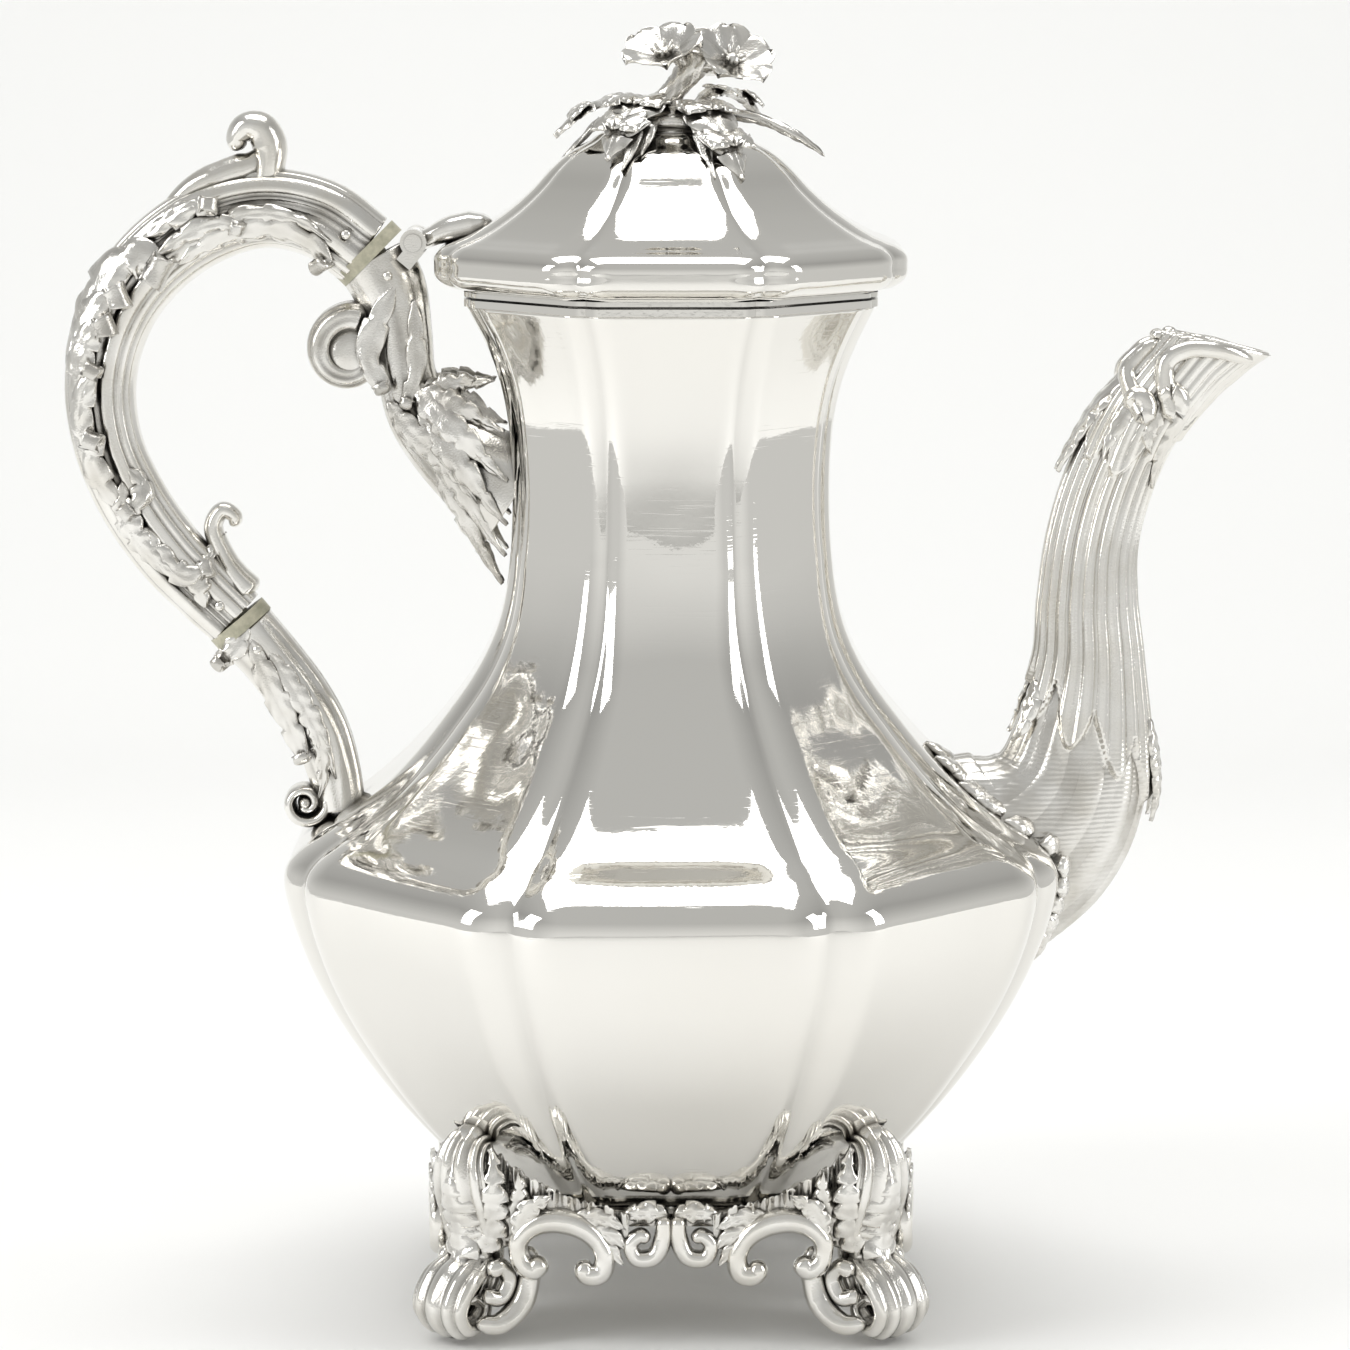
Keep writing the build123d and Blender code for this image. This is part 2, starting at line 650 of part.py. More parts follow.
LEAF_Z = CROWN_Z + 4.2
cut_by = [boss, stud, stem] + placed_flowers
save((boss - stem).solids().sort_by(SortBy.VOLUME)[-1], "finial_boss")
for name, (turn, *sizes) in LEAVES.items():
    blade = Pos(0, 0, LEAF_Z) * Rot(0, 0, turn) * leaf(*sizes)
    for other in cut_by:
        blade = blade - other
    blade = blade.solids().sort_by(SortBy.VOLUME)[-1]
    cut_by.append(blade)
    save(blade, name)
TWIG = [
    (8.6, CROWN_Z + 2.8, 358, 2.6, 2.6),
    (17.0, CROWN_Z + 2.0, 350, 2.4, 2.4),
    (24.5, CROWN_Z - 0.6, 340, 2.0, 2.0),
    (30.2, CROWN_Z - 4.4, 322, 1.4, 1.4),
]
twig = Rot(0, 0, -8) * tube(TWIG)
for other in cut_by:
    twig = twig - other
save(twig.solids().sort_by(SortBy.VOLUME)[-1], "finial_twig")
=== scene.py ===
import math

import bpy
import numpy as np
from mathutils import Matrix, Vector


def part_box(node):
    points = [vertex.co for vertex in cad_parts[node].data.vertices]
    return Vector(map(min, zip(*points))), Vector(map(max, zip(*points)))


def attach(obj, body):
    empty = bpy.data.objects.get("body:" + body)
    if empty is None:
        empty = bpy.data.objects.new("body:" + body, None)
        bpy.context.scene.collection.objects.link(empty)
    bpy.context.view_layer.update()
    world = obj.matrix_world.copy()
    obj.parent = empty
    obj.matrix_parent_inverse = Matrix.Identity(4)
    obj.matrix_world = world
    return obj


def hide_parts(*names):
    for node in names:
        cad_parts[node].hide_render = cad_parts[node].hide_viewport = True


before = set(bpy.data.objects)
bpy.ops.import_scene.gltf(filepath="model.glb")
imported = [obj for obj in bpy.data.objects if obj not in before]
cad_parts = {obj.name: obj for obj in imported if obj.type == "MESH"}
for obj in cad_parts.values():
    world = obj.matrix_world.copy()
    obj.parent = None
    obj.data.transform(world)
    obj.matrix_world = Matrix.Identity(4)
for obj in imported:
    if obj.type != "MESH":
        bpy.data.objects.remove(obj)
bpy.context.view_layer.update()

# ================================================================ belly and neck
# The body is raised from two sheets of silver, seamed on the shoulder ridge. Eight nearly flat panels
# with rounded edges meet in grooves, and years of polishing have left the metal bright and faintly wavy.

MM = 0.001
PANELS = 8
CORNER_TURN = math.radians(52)
UP = np.array([0.0, 0.0, 1.0])
ACROSS = np.array([0.0, 1.0, 0.0])


def node_mm(node):
    """Lowest and highest corner of a CAD node, in millimetres."""
    low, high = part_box(node)
    return np.array(low) / MM, np.array(high) / MM


def smooth_line(points, count, axes=3):
    """Catmull-Rom curve through the points, at count even steps of its length. Columns past the first
    axes, such as widths, ride along and don't count towards the length."""
    p = np.asarray(points, float)
    p = np.vstack([2 * p[0] - p[1], p, 2 * p[-1] - p[-2]])
    t = np.linspace(0, len(p) - 3, 40 * (len(p) - 3) + 1)
    i = np.minimum(t.astype(int), len(p) - 4)
    u = (t - i)[:, None]
    a, b, c, d = p[i], p[i + 1], p[i + 2], p[i + 3]
    fine = b + 0.5 * u * (c - a + u * (2 * a - 5 * b + 4 * c - d + u * (3 * b - a - 3 * c + d)))
    steps = np.linalg.norm(np.diff(fine[:, :axes], axis=0), axis=1)
    length = np.r_[0, np.cumsum(steps)]
    even = np.linspace(0, length[-1], count)
    return np.stack([np.interp(even, length, column) for column in fine.T], 1)


def grid_faces(rows, columns, close_rows=False, close_columns=True):
    """Four corner indices of each cell of a grid of points."""
    r = np.arange(rows if close_rows else rows - 1)[:, None]
    c = np.arange(columns if close_columns else columns - 1)[None, :]
    r2, c2 = (r + 1) % rows, (c + 1) % columns
    corners = [r * columns + c, r * columns + c2, r2 * columns + c2, r2 * columns + c]
    return np.stack(corners, -1).reshape(-1, 4)


def outward(points, quads, tris):
    """Turns a closed surface's faces over if the volume that they enclose comes out negative."""
    fans = np.vstack([quads[:, [0, 1, 2]], quads[:, [0, 2, 3]], tris]).astype(int)
    a, b, c = points[fans[:, 0]], points[fans[:, 1]], points[fans[:, 2]]
    if np.einsum("ij,ij->i", a, np.cross(b, c)).sum() < 0:
        return quads[:, ::-1], tris[:, ::-1]
    return quads, tris


NO_TRIS = np.zeros((0, 3), int)


def ring_skin(grid, recess):
    """A grid that closes on itself both ways, such as a wall's outside, rim and inside."""
    rows, columns = grid.shape[:2]
    points = grid.reshape(-1, 3)
    quads, tris = outward(points, grid_faces(rows, columns, close_rows=True), NO_TRIS)
    return points, quads, tris, np.broadcast_to(recess, (rows, columns)).reshape(-1)


def capped_skin(grid, recess=0.0):
    """A grid that closes round each row, with a point at the middle of both end rows."""
    rows, columns = grid.shape[:2]
    ends = grid[[0, -1]].mean(1)
    points = np.vstack([grid.reshape(-1, 3), ends])
    c = np.arange(columns)
    c2 = (c + 1) % columns
    first, last = rows * columns, rows * columns + 1
    base = (rows - 1) * columns
    tris = np.vstack(
        [
            np.stack([c2, c, np.full(columns, first)], 1),
            np.stack([base + c, base + c2, np.full(columns, last)], 1),
        ]
    )
    quads, tris = outward(points, grid_faces(rows, columns), tris)
    shade = np.broadcast_to(recess, (rows, columns)).reshape(-1)
    return points, quads, tris, np.r_[shade, shade[:1], shade[-1:]]


def moved(skin, matrix=None, shift=(0, 0, 0)):
    """The same skin after a turn or mirroring matrix and a shift, with its faces still outwards."""
    points, quads, tris, recess = skin
    turn = np.eye(3) if matrix is None else np.asarray(matrix, float)
    if np.linalg.det(turn) < 0:
        quads, tris = quads[:, ::-1], tris[:, ::-1]
    return points @ turn.T + np.asarray(shift, float), quads, tris, recess


def turned(degrees):
    """Matrix of a turn about Z."""
    c, s = math.cos(math.radians(degrees)), math.sin(math.radians(degrees))
    return np.array([[c, -s, 0], [s, c, 0], [0, 0, 1.0]])


MIRROR_Y = np.diag([1.0, -1.0, 1.0])


def both_sides(skins):
    """The skins and their mirror images on the other side of the plane through spout and handle."""
    return list(skins) + [moved(skin, MIRROR_Y) for skin in skins]


def make_piece(name, skins, material, body, slot, *nodes):
    """Joins skins, in millimetres, into one object in metres that rides on body and stands for nodes.
    The vertex attribute recess, 0 to 1, says how deep and dark a place lies."""
    points, quads, tris, recess, offset = [], [], [], [], 0
    for skin in skins:
        points.append(skin[0])
        quads.append(skin[1] + offset)
        tris.append(skin[2] + offset)
        recess.append(skin[3])
        offset += len(skin[0])
    faces = np.vstack(quads).tolist() + np.vstack(tris).tolist()
    mesh = bpy.data.meshes.new(name)
    mesh.from_pydata((np.vstack(points) * MM).tolist(), [], faces)
    depth = mesh.attributes.new("recess", "FLOAT", "POINT")
    depth.data.foreach_set("value", np.clip(np.concatenate(recess), 0, 1).astype(np.float32))
    mesh.shade_smooth()
    mesh.materials.append(material)
    piece = bpy.data.objects.new(name, mesh)
    bpy.context.scene.collection.objects.link(piece)
    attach(piece, body)
    if nodes:
        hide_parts(*nodes)
    return piece


FLAT_STEPS = 9
ARC_STEPS = 9


def panel_ring(apothem, corner):
    """Level sections through eight panels. Across a panel the distance out is the apothem, less a
    slight crown, and each edge turns down by CORNER_TURN on an arc of radius corner into the groove.
    Returns x and y, with a row for each section, and the nearness to a groove, 0 to 1."""
    apothem, corner = np.asarray(apothem)[:, None], np.asarray(corner)[:, None]
    groove = apothem - corner * (1 - math.cos(CORNER_TURN))
    flat = groove * math.tan(math.pi / PANELS) - corner * math.sin(CORNER_TURN)
    turn = np.linspace(CORNER_TURN, 0, ARC_STEPS)[None, :]
    arc_out = apothem - corner * (1 - np.cos(turn))
    arc_across = flat + corner * np.sin(turn)
    even = np.linspace(-1, 1, FLAT_STEPS + 2)[None, 1:-1]
    flat_out = apothem - 0.02 * flat * (even**2)
    out = np.hstack([arc_out, flat_out, arc_out[:, :0:-1]])
    across = np.hstack([-arc_across, flat * even, arc_across[:, :0:-1]])
    turns = 2 * np.pi / PANELS * np.arange(PANELS)
    x = np.concatenate([out * math.cos(t) - across * math.sin(t) for t in turns], 1)
    y = np.concatenate([out * math.sin(t) + across * math.cos(t) for t in turns], 1)
    x = 0.6 * x + 0.2 * (np.roll(x, 1, 1) + np.roll(x, -1, 1))
    y = 0.6 * y + 0.2 * (np.roll(y, 1, 1) + np.roll(y, -1, 1))
    per_panel = out.shape[1]
    column = np.arange(per_panel)
    near = np.minimum(column, per_panel - column) / (ARC_STEPS - 1.0)
    return x, y, np.tile(np.exp(-((near / 0.16) ** 2)), PANELS)[None, :]


def hammered(x, y, z, depth):
    """Moves a wall inwards by up to depth in long soft waves, as hand-raised metal has."""
    a = np.arctan2(y, x)
    wave = np.sin(5 * a + 0.11 * z) + np.sin(9 * a - 0.17 * z + 2) + np.sin(3 * a + 0.23 * z + 4)
    keep = 1 - depth * (3 + wave) / 6 / np.hypot(x, y)
    return x * keep, y * keep


def panelled_wall(profile, corners, wall, wave, inner_rows=40):
    """Closed sheet: the outside follows profile, rows of (apothem, height), and the inside comes back
    down one wall thickness within it."""
    inside = profile[np.linspace(len(profile) - 1, 0, inner_rows).astype(int)]
    z = np.r_[profile[:, 1], inside[:, 1]]
    corner = np.interp(z, *np.array(corners).T)
    apothem = np.r_[profile[:, 0], inside[:, 0] - wall]
    corner[len(profile):] -= wall / 2
    x, y, groove = panel_ring(apothem, corner)
    x, y = hammered(x, y, z[:, None], wave)
    grid = np.stack([x, y, np.broadcast_to(z[:, None], x.shape)], -1)
    return ring_skin(grid, groove)


belly_low, belly_high = node_mm("belly_shell")
neck_low, neck_high = node_mm("neck_shell")
BODY_BOTTOM, RIDGE_Z, MOUTH_Z = belly_low[2], neck_low[2], neck_high[2]
BELLY_R = belly_high[0]
body_profile = smooth_line(
    [
        (41.5, BODY_BOTTOM),
        (47.6, 32.6),
        (54.6, 41.0),
        (60.9, 49.8),
        (66.1, 58.2),
        (70.6, 67.0),
        (74.0, 75.4),
        (BELLY_R - 0.9, 81.6),
        (BELLY_R - 0.15, 86.4),
        (BELLY_R - 0.8, 89.8),
        (BELLY_R - 3.2, 92.6),
        (69.6, 95.4),
        (63.0, 99.6),
        (56.4, 105.2),
        (50.2, 111.6),
        (44.8, 118.2),
        (40.2, 124.4),
        (36.8, 130.4),
        (34.3, 136.8),
        (32.7, 144.0),
        (31.8, 152.0),
        (31.45, 160.0),
        (31.5, 168.0),
        (32.2, 176.4),
        (33.9, 184.4),
        (36.5, 191.6),
        (40.2, MOUTH_Z),
    ],
    250,
    axes=2,
)
BODY_CORNERS = [(BODY_BOTTOM, 7.0), (60.0, 11.0), (88.0, 13.0), (112.0, 9.0), (150.0, 5.6), (MOUTH_Z, 6.0)]
BODY_WALL, BODY_WAVE = 0.9, 0.3


class Link:
    """A node socket whose operators add Math nodes, so that shader maths reads as an expression."""

    def __init__(self, tree, socket):
        self.tree, self.socket = tree, socket

    def math(self, operation, *values):
        """Adds one Math node."""
        return self.tree.node("ShaderNodeMath", {"operation": operation}, *values)

    def __add__(self, other):
        return self.math("ADD", self, other)

    def __sub__(self, other):
        return self.math("SUBTRACT", self, other)

    def __rsub__(self, other):
        return self.math("SUBTRACT", other, self)

    def __mul__(self, other):
        return self.math("MULTIPLY", self, other)

    __radd__, __rmul__ = __add__, __mul__


class Finish:
    """The node tree of a new material, or of a world, under construction."""

    def __init__(self, owner):
        owner.use_nodes = True
        self.owner, self.nodes, self.links = owner, owner.node_tree.nodes, owner.node_tree.links
        self.nodes.clear()

    def node(self, kind, settings=None, *values, out=0, at=None, **named):
        """Adds a node of any type, with its settings. Its sockets are given in order, by name with _ for
        a space, or by number in at. Returns the output out."""
        made = self.nodes.new(kind)
        for key, value in (settings or {}).items():
            setattr(made, key, value)
        for key, value in [*enumerate(values), *named.items(), *(at or {}).items()]:
            target = made.inputs[key if isinstance(key, int) else key.replace("_", " ")]
            if isinstance(value, Link):
                self.links.new(value.socket, target)
            elif target.type == "RGBA" and len(value) == 3:
                target.default_value = (*value, 1)
            else:
                target.default_value = value
        return Link(self, made.outputs[out] if made.outputs else None)

    def place(self):
        """Object coordinates, in metres."""
        return self.node("ShaderNodeTexCoord", out="Object")

    def noise(self, scale, detail=3.0, roughness=0.5, vector=None):
        """Cloudy values about 0.5, scale clouds to a metre unless a vector is given."""
        return self.node(
            "ShaderNodeTexNoise",
            None,
            Vector=vector or self.place(),
            Scale=scale,
            Detail=detail,
            Roughness=roughness,
        )

    def ramp(self, value, low, high):
        """0 at low, 1 at high, straight between and level beyond."""
        return self.node("ShaderNodeMapRange", None, Value=value, From_Min=low, From_Max=high)

    def mix(self, factor, first, second):
        """The first colour at 0 and the second at 1."""
        return self.node("ShaderNodeMix", {"data_type": "RGBA"}, factor, at={6: first, 7: second}, out=2)

    def bump(self, height, strength, distance):
        """A normal tilted by the slope of height."""
        return self.node(
            "ShaderNodeBump", None, Strength=strength, Distance=distance, Height=height
        )

    def finish(self, **sockets):
        """Ends a material in a Principled shader with these sockets, and returns it."""
        shader = self.node("ShaderNodeBsdfPrincipled", None, **sockets)
        self.node("ShaderNodeOutputMaterial", None, Surface=shader)
        return self.owner


SILVER_BRIGHT = (0.85, 0.835, 0.80)
SILVER_WARM = (0.77, 0.745, 0.69)
# Dark colour that tarnish and painted shade both mix towards.
TARNISH_AND_SHADE = (0.11, 0.10, 0.085)


def raised_silver():
    """Hand-polished sheet: bright, with cloudy patches, hairline scratches, tarnish in the grooves and
    painted shade in hollows and beside other parts.
    """
    f = Finish(bpy.data.materials.new("polished sheet silver"))
    cloud = f.noise(26, 4)
    smear = f.noise(9, 2)
    hairs = f.node(
        "ShaderNodeMapping",
        None,
        Vector=f.place(),
        Rotation=(0.3, 0.9, 0.4),
        Scale=(60, 60, 2400),
    )
    scratches = f.ramp(f.noise(1.0, 2, 0.6, hairs), 0.60, 0.74)
    groove = f.node("ShaderNodeAttribute", {"attribute_name": "recess"}, out="Fac")
    # Painted shade: the ambient occlusion darkens the colour in hollows and beside other parts; the groove
    # term adds patchy tarnish along the panel grooves.
    near = f.node("ShaderNodeAmbientOcclusion", {"samples": 6}, Distance=0.004, out="AO")
    dark = f.ramp(1 - near, 0.35, 0.9) * 0.75 + groove * cloud * 0.22
    silver = f.mix(f.ramp(smear, 0.4, 0.7) * 0.5, SILVER_BRIGHT, SILVER_WARM)
    colour = f.mix(dark, silver, TARNISH_AND_SHADE)
    rough = 0.035 + f.ramp(cloud, 0.45, 0.8) * 0.05 + scratches * 0.05 + dark * 0.2
    ripple = f.bump(f.noise(900, 2) * 0.3 + scratches * 0.2, 0.05, 0.0004)
    return f.finish(Base_Color=colour, Metallic=1.0, Roughness=rough, Normal=ripple)


sheet_silver = raised_silver()
body_skin = panelled_wall(body_profile, BODY_CORNERS, BODY_WALL, BODY_WAVE)
make_piece("body", [body_skin], sheet_silver, "pot", "raised_silver", "belly_shell", "neck_shell")

# ================================================================ lid
# A domed sheet of silver with the same eight panels, a rolled rim and a concave roof. A flat plate
# closes the rim from below, and a plain bezel on that plate drops into the mouth.

lid_low, lid_high = node_mm("lid_shell")
LID_BOTTOM, LID_TOP, LID_R = lid_low[2], lid_high[2], lid_high[0]
CROWN_Z = node_mm("lid_crown_plate")[1][2]
lid_profile = smooth_line(
    [
        (40.6, LID_BOTTOM),
        (43.9, LID_BOTTOM + 1.0),
        (46.0, LID_BOTTOM + 2.8),
        (LID_R - 0.1, LID_BOTTOM + 4.9),
        (46.2, LID_BOTTOM + 6.9),
        (44.5, LID_BOTTOM + 8.6),
        (42.0, LID_BOTTOM + 9.7),
        (39.2, LID_BOTTOM + 10.9),
        (35.6, LID_BOTTOM + 13.0),
        (31.2, LID_BOTTOM + 16.1),
        (27.0, LID_BOTTOM + 19.8),
        (23.2, LID_BOTTOM + 23.8),
        (19.8, LID_BOTTOM + 26.6),
        (16.2, LID_TOP - 0.9),
        (13.6, CROWN_Z - 0.4),
        (10.6, CROWN_Z),
    ],
    150,
    axes=2,
)
LID_CORNERS = [
    (LID_BOTTOM, 6.5),
    (LID_BOTTOM + 5, 9.0),
    (LID_BOTTOM + 10, 7.5),
    (LID_BOTTOM + 20, 5.2),
    (LID_TOP, 3.0),
    (CROWN_Z, 1.6),
]
LID_WALL, LID_WAVE = 0.8, 0.16
lid_skin = panelled_wall(lid_profile, LID_CORNERS, LID_WALL, LID_WAVE)
make_piece("lid_dome", [lid_skin], sheet_silver, "lid", "raised_silver", "lid_shell", "lid_crown_plate")


def finish_nodes(material, *nodes):
    """Gives a material to CAD nodes that keep their own mesh."""
    for node in nodes:
        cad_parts[node].data.materials.clear()
        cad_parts[node].data.materials.append(material)


finish_nodes(sheet_silver, "base_plate", "base_ring", "mouth_plate", "lid_underplate", "lid_bezel")

# ================================================================ handle grip
# Cast silver: a moulded C of reeds and hollows, with hooked acanthus leaves chased along its back, a
# thumb scroll on top and a curled spur above the lower collar.


def unit(vectors):
    """Each vector divided by its length."""
    return vectors / np.linalg.norm(vectors, axis=-1, keepdims=True)


def frames(path, side):
    """Tangent, side and normal of a path. side is made square to the path, normal to both."""
    tangent = unit(np.gradient(path, axis=0))
    side = np.broadcast_to(np.asarray(side, float), path.shape)
    side = unit(side - (side * tangent).sum(1, keepdims=True) * tangent)
    return tangent, side, np.cross(tangent, side)


def sweep(path, side, half_side, half_normal, columns=40, relief=None, power=2.0, ends=0.0):
    """Closed skin round a path: each section is a rounded shape, half_side wide along side and
    half_normal high along the normal, moved outwards by relief(u, angle) with u from 0 to 1 along the
    path. power above 2 squares the section. ends is the share of the path that rounds off each end."""
    rows = len(path)
    _, side, normal = frames(path, side)
    u = np.linspace(0, 1, rows)[:, None]
    angle = np.linspace(0, 2 * np.pi, columns, endpoint=False)[None, :]
    c, s = np.cos(angle), np.sin(angle)
    c, s = np.sign(c) * abs(c) ** (2 / power), np.sign(s) * abs(s) ** (2 / power)
    round_off = np.ones_like(u)
    if ends:
        inset = np.clip(np.minimum(u, 1 - u) / ends, 0, 1)
        round_off = np.sqrt(np.clip(1 - (1 - inset) ** 2, 0.0004, 1))
    a = np.broadcast_to(half_side, rows)[:, None] * round_off
    b = np.broadcast_to(half_normal, rows)[:, None] * round_off
    lift = relief(u, angle) * round_off if relief else np.zeros((rows, columns))
    out = np.stack([c / a, s / b], -1)
    out = out / np.linalg.norm(out, axis=-1, keepdims=True)
    grid = (
        path[:, None]
        + (a * c + lift * out[..., 0])[..., None] * side[:, None]
        + (b * s + lift * out[..., 1])[..., None] * normal[:, None]
    )
    low = lift.min() if relief else 0.0
    recess = np.clip(lift / low, 0, 1) if low < 0 else 0.0
    return grid, recess


def rod(points, half_side, half_normal, side=ACROSS, count=60, columns=24, ends=0.12, **options):
    """A swept skin through a few points."""
    path = smooth_line(points, count)
    if np.ndim(half_side):
        half_side = np.interp(np.linspace(0, 1, count), np.linspace(0, 1, len(half_side)), half_side)
    if np.ndim(half_normal):
        half_normal = np.interp(np.linspace(0, 1, count), np.linspace(0, 1, len(half_normal)), half_normal)
    return capped_skin(*sweep(path, side, half_side, half_normal, columns, ends=ends, **options))


def in_plane(points):
    """Points (x, z) of an upright plane through the pot's axis, as (x, 0, z)."""
    return [(x, 0.0, z) for x, z in points]


def leaf(spine, normal, width, thickness=0.7, lobes=4, cup=0.0, curl=0.0, ragged=0.3, count=60, columns=26):
    """An acanthus leaf: a lens-shaped section carried along spine. Its half width rises and tapers as
    sin(pi u^0.7), and lobes bites shorten it by the share ragged. Across, the height changes by cup
    times the square of the distance from the midrib, and veins run out along the lobes. With curl,
    the tip rolls up and back on a shrinking arc of that radius."""
    path = smooth_line(spine, count)
    if np.ndim(normal) == 1:
        normal = np.broadcast_to(np.asarray(normal, float), path.shape)
    else:
        normal = smooth_line(np.hstack([spine, normal]), count)[:, 3:]
    tangent = unit(np.gradient(path, axis=0))
    normal = unit(normal - (normal * tangent).sum(1, keepdims=True) * tangent)
    if curl:
        extra = count // 3
        turn = np.linspace(0, 1, extra + 1)[1:, None]
        angle = turn * math.radians(250)
        radius = curl * (1 - 0.55 * turn)
        t, n = tangent[-1], normal[-1]
        centre = path[-1] + n * curl
        path = np.vstack([path, centre + radius * (np.sin(angle) * t - np.cos(angle) * n)])
        normal = np.vstack([normal, -np.sin(angle) * t + np.cos(angle) * n])
        tangent = unit(np.gradient(path, axis=0))
    rows = len(path)
    side = unit(np.cross(tangent, normal))
    u = np.linspace(0, 1, rows)[:, None]
    angle = np.linspace(0, 2 * np.pi, columns, endpoint=False)[None, :]
    across, over = np.cos(angle), np.sin(angle)
    taper = np.sin(np.pi * np.clip(u, 0.002, 0.998) ** 0.72) ** 0.8
    if curl:
        taper = np.maximum(taper, np.clip(u - 0.45, 0, 0.2) * 3.4 * (u < 0.985))
    tooth = (u * lobes + 0.15) % 1.0
    bite = 1 - ragged * np.clip((tooth - 0.35) / 0.65, 0, 1) ** 1.5
    half = width * taper * bite
    body = np.sqrt(np.clip(taper, 0.05, 1))
    vein = np.cos(2 * np.pi * (u * lobes * 1.5 - abs(across) * 0.9)) * abs(across)
    rib = np.exp(-((across / 0.14) ** 2))
    lift = cup * across**2 + over * thickness * body + (over > 0) * thickness * (0.28 * vein - 0.5 * rib)
    grid = path[:, None] + (half * across)[..., None] * side[:, None] + lift[..., None] * normal[:, None]
    # The recess darkens the veins and midrib on top, and gives the whole underside painted shade.
    recess = (over > 0) * (0.45 * (1 - vein) * abs(across) + 0.5 * rib) + (over <= 0) * 0.6
    return capped_skin(grid, recess)


def cast_silver():
    """Chased casting: bright and worn on the high places, tarnished and matted in the hollows, with painted
    shade in hollows and beside other parts.
    """
    f = Finish(bpy.data.materials.new("chased cast silver"))
    depth = f.node("ShaderNodeAttribute", {"attribute_name": "recess"}, out="Fac")
    # Painted shade: the ambient occlusion darkens the colour in hollows and beside other parts; the recess
    # term adds patchy tarnish in the relief.
    near = f.node("ShaderNodeAmbientOcclusion", {"samples": 8}, Distance=0.0022, out="AO")
    cloud = f.noise(120, 4)
    grain = f.noise(2600, 2)
    dark = f.ramp(1 - near, 0.2, 0.8) * 0.9 + depth * f.ramp(cloud, 0.2, 0.7) * 0.62
    dark = f.node("ShaderNodeClamp", None, dark)
    silver = f.mix(f.ramp(cloud, 0.4, 0.7), SILVER_BRIGHT, SILVER_WARM)
    colour = f.mix(dark, silver, TARNISH_AND_SHADE)
    rough = 0.13 + f.ramp(cloud, 0.4, 0.8) * 0.08 + dark * 0.28
    punched = f.bump(grain * (0.25 + depth * 0.8), 0.32, 0.0003)
    return f.finish(Base_Color=colour, Metallic=1.0, Roughness=rough, Normal=punched)


chased = cast_silver()

GRIP = [  # x, z, half height, half width
    (-60.4, 209.4, 7.7, 6.3),
    (-69.3, 215.6, 7.9, 6.6),
    (-80.5, 217.6, 7.8, 6.6),
    (-92.3, 214.3, 8.0, 6.6),
    (-102.8, 206.6, 7.8, 6.6),
    (-109.9, 196.2, 7.4, 6.6),
    (-113.1, 184.0, 7.1, 6.4),
    (-112.0, 171.5, 6.9, 6.1),
    (-107.2, 159.8, 7.0, 6.0),
    (-100.3, 149.6, 7.0, 6.0),
    (-93.2, 142.0, 6.8, 5.8),
    (-87.1, 136.0, 6.5, 5.5),
]
grip_line = smooth_line([(x, 0, z, h, w) for x, z, h, w in GRIP], 420)
grip_path, grip_high, grip_wide = grip_line[:, :3], grip_line[:, 3], grip_line[:, 4]
REED_ANGLES = np.radians([31, 68, 79, 90, 118, 139])


def grip_relief(u, angle):
    """Grooves at fixed angles from the handle's back, the same on both flanks, with fine reeds in a
    broad hollow between two smooth bands."""
    from_back = np.arccos(np.clip(-np.sin(angle), -1, 1))
    cuts = sum(np.exp(-(((from_back - a) / 0.055) ** 2)) for a in REED_ANGLES)
    hollow = np.exp(-(((from_back - math.radians(78)) / 0.26) ** 4))
    return -0.75 * cuts - 0.9 * hollow


def on_flank(line, points, lift=0.0):
    """Puts points (x, z) on the near flank of an oval tube, raised by lift. line has the tube's x, y, z,
    half height and half width. Returns the places and the outward normals."""
    points = np.asarray(points, float)
    _, _, normal = frames(line[:, :3], ACROSS)
    gap = points[:, None] - line[None, :, [0, 2]]
    nearest = (gap**2).sum(2).argmin(1)
    high, wide, normal = line[nearest, 3], line[nearest, 4], normal[nearest]
    off = (gap[np.arange(len(points)), nearest] * normal[:, [0, 2]]).sum(1)
    share = np.clip(off / high, -0.97, 0.97)
    y = wide * np.sqrt(1 - share**2)
    outward_way = unit(normal * (share / high)[:, None] - ACROSS * (y / wide**2)[:, None])
    place = np.stack([points[:, 0], -y, points[:, 1]], 1) + outward_way * np.reshape(lift, (-1, 1))
    return place, outward_way


def flank_leaf(line, points, width, lift=(-0.2, 1.0), **options):
    """A leaf whose spine runs over the near flank through points (x, z)."""
    place, way = on_flank(line, points, np.linspace(*lift, len(points)))
    return leaf(place, way, width, cup=-width * 0.2, **options)


def flank_rod(line, points, half, lift=0.4, **options):
    """A round strand that runs over the near flank through points (x, z)."""
    place, _ = on_flank(line, points, lift)
    return rod(place, half, half, side=(1, 0, 0), **options)


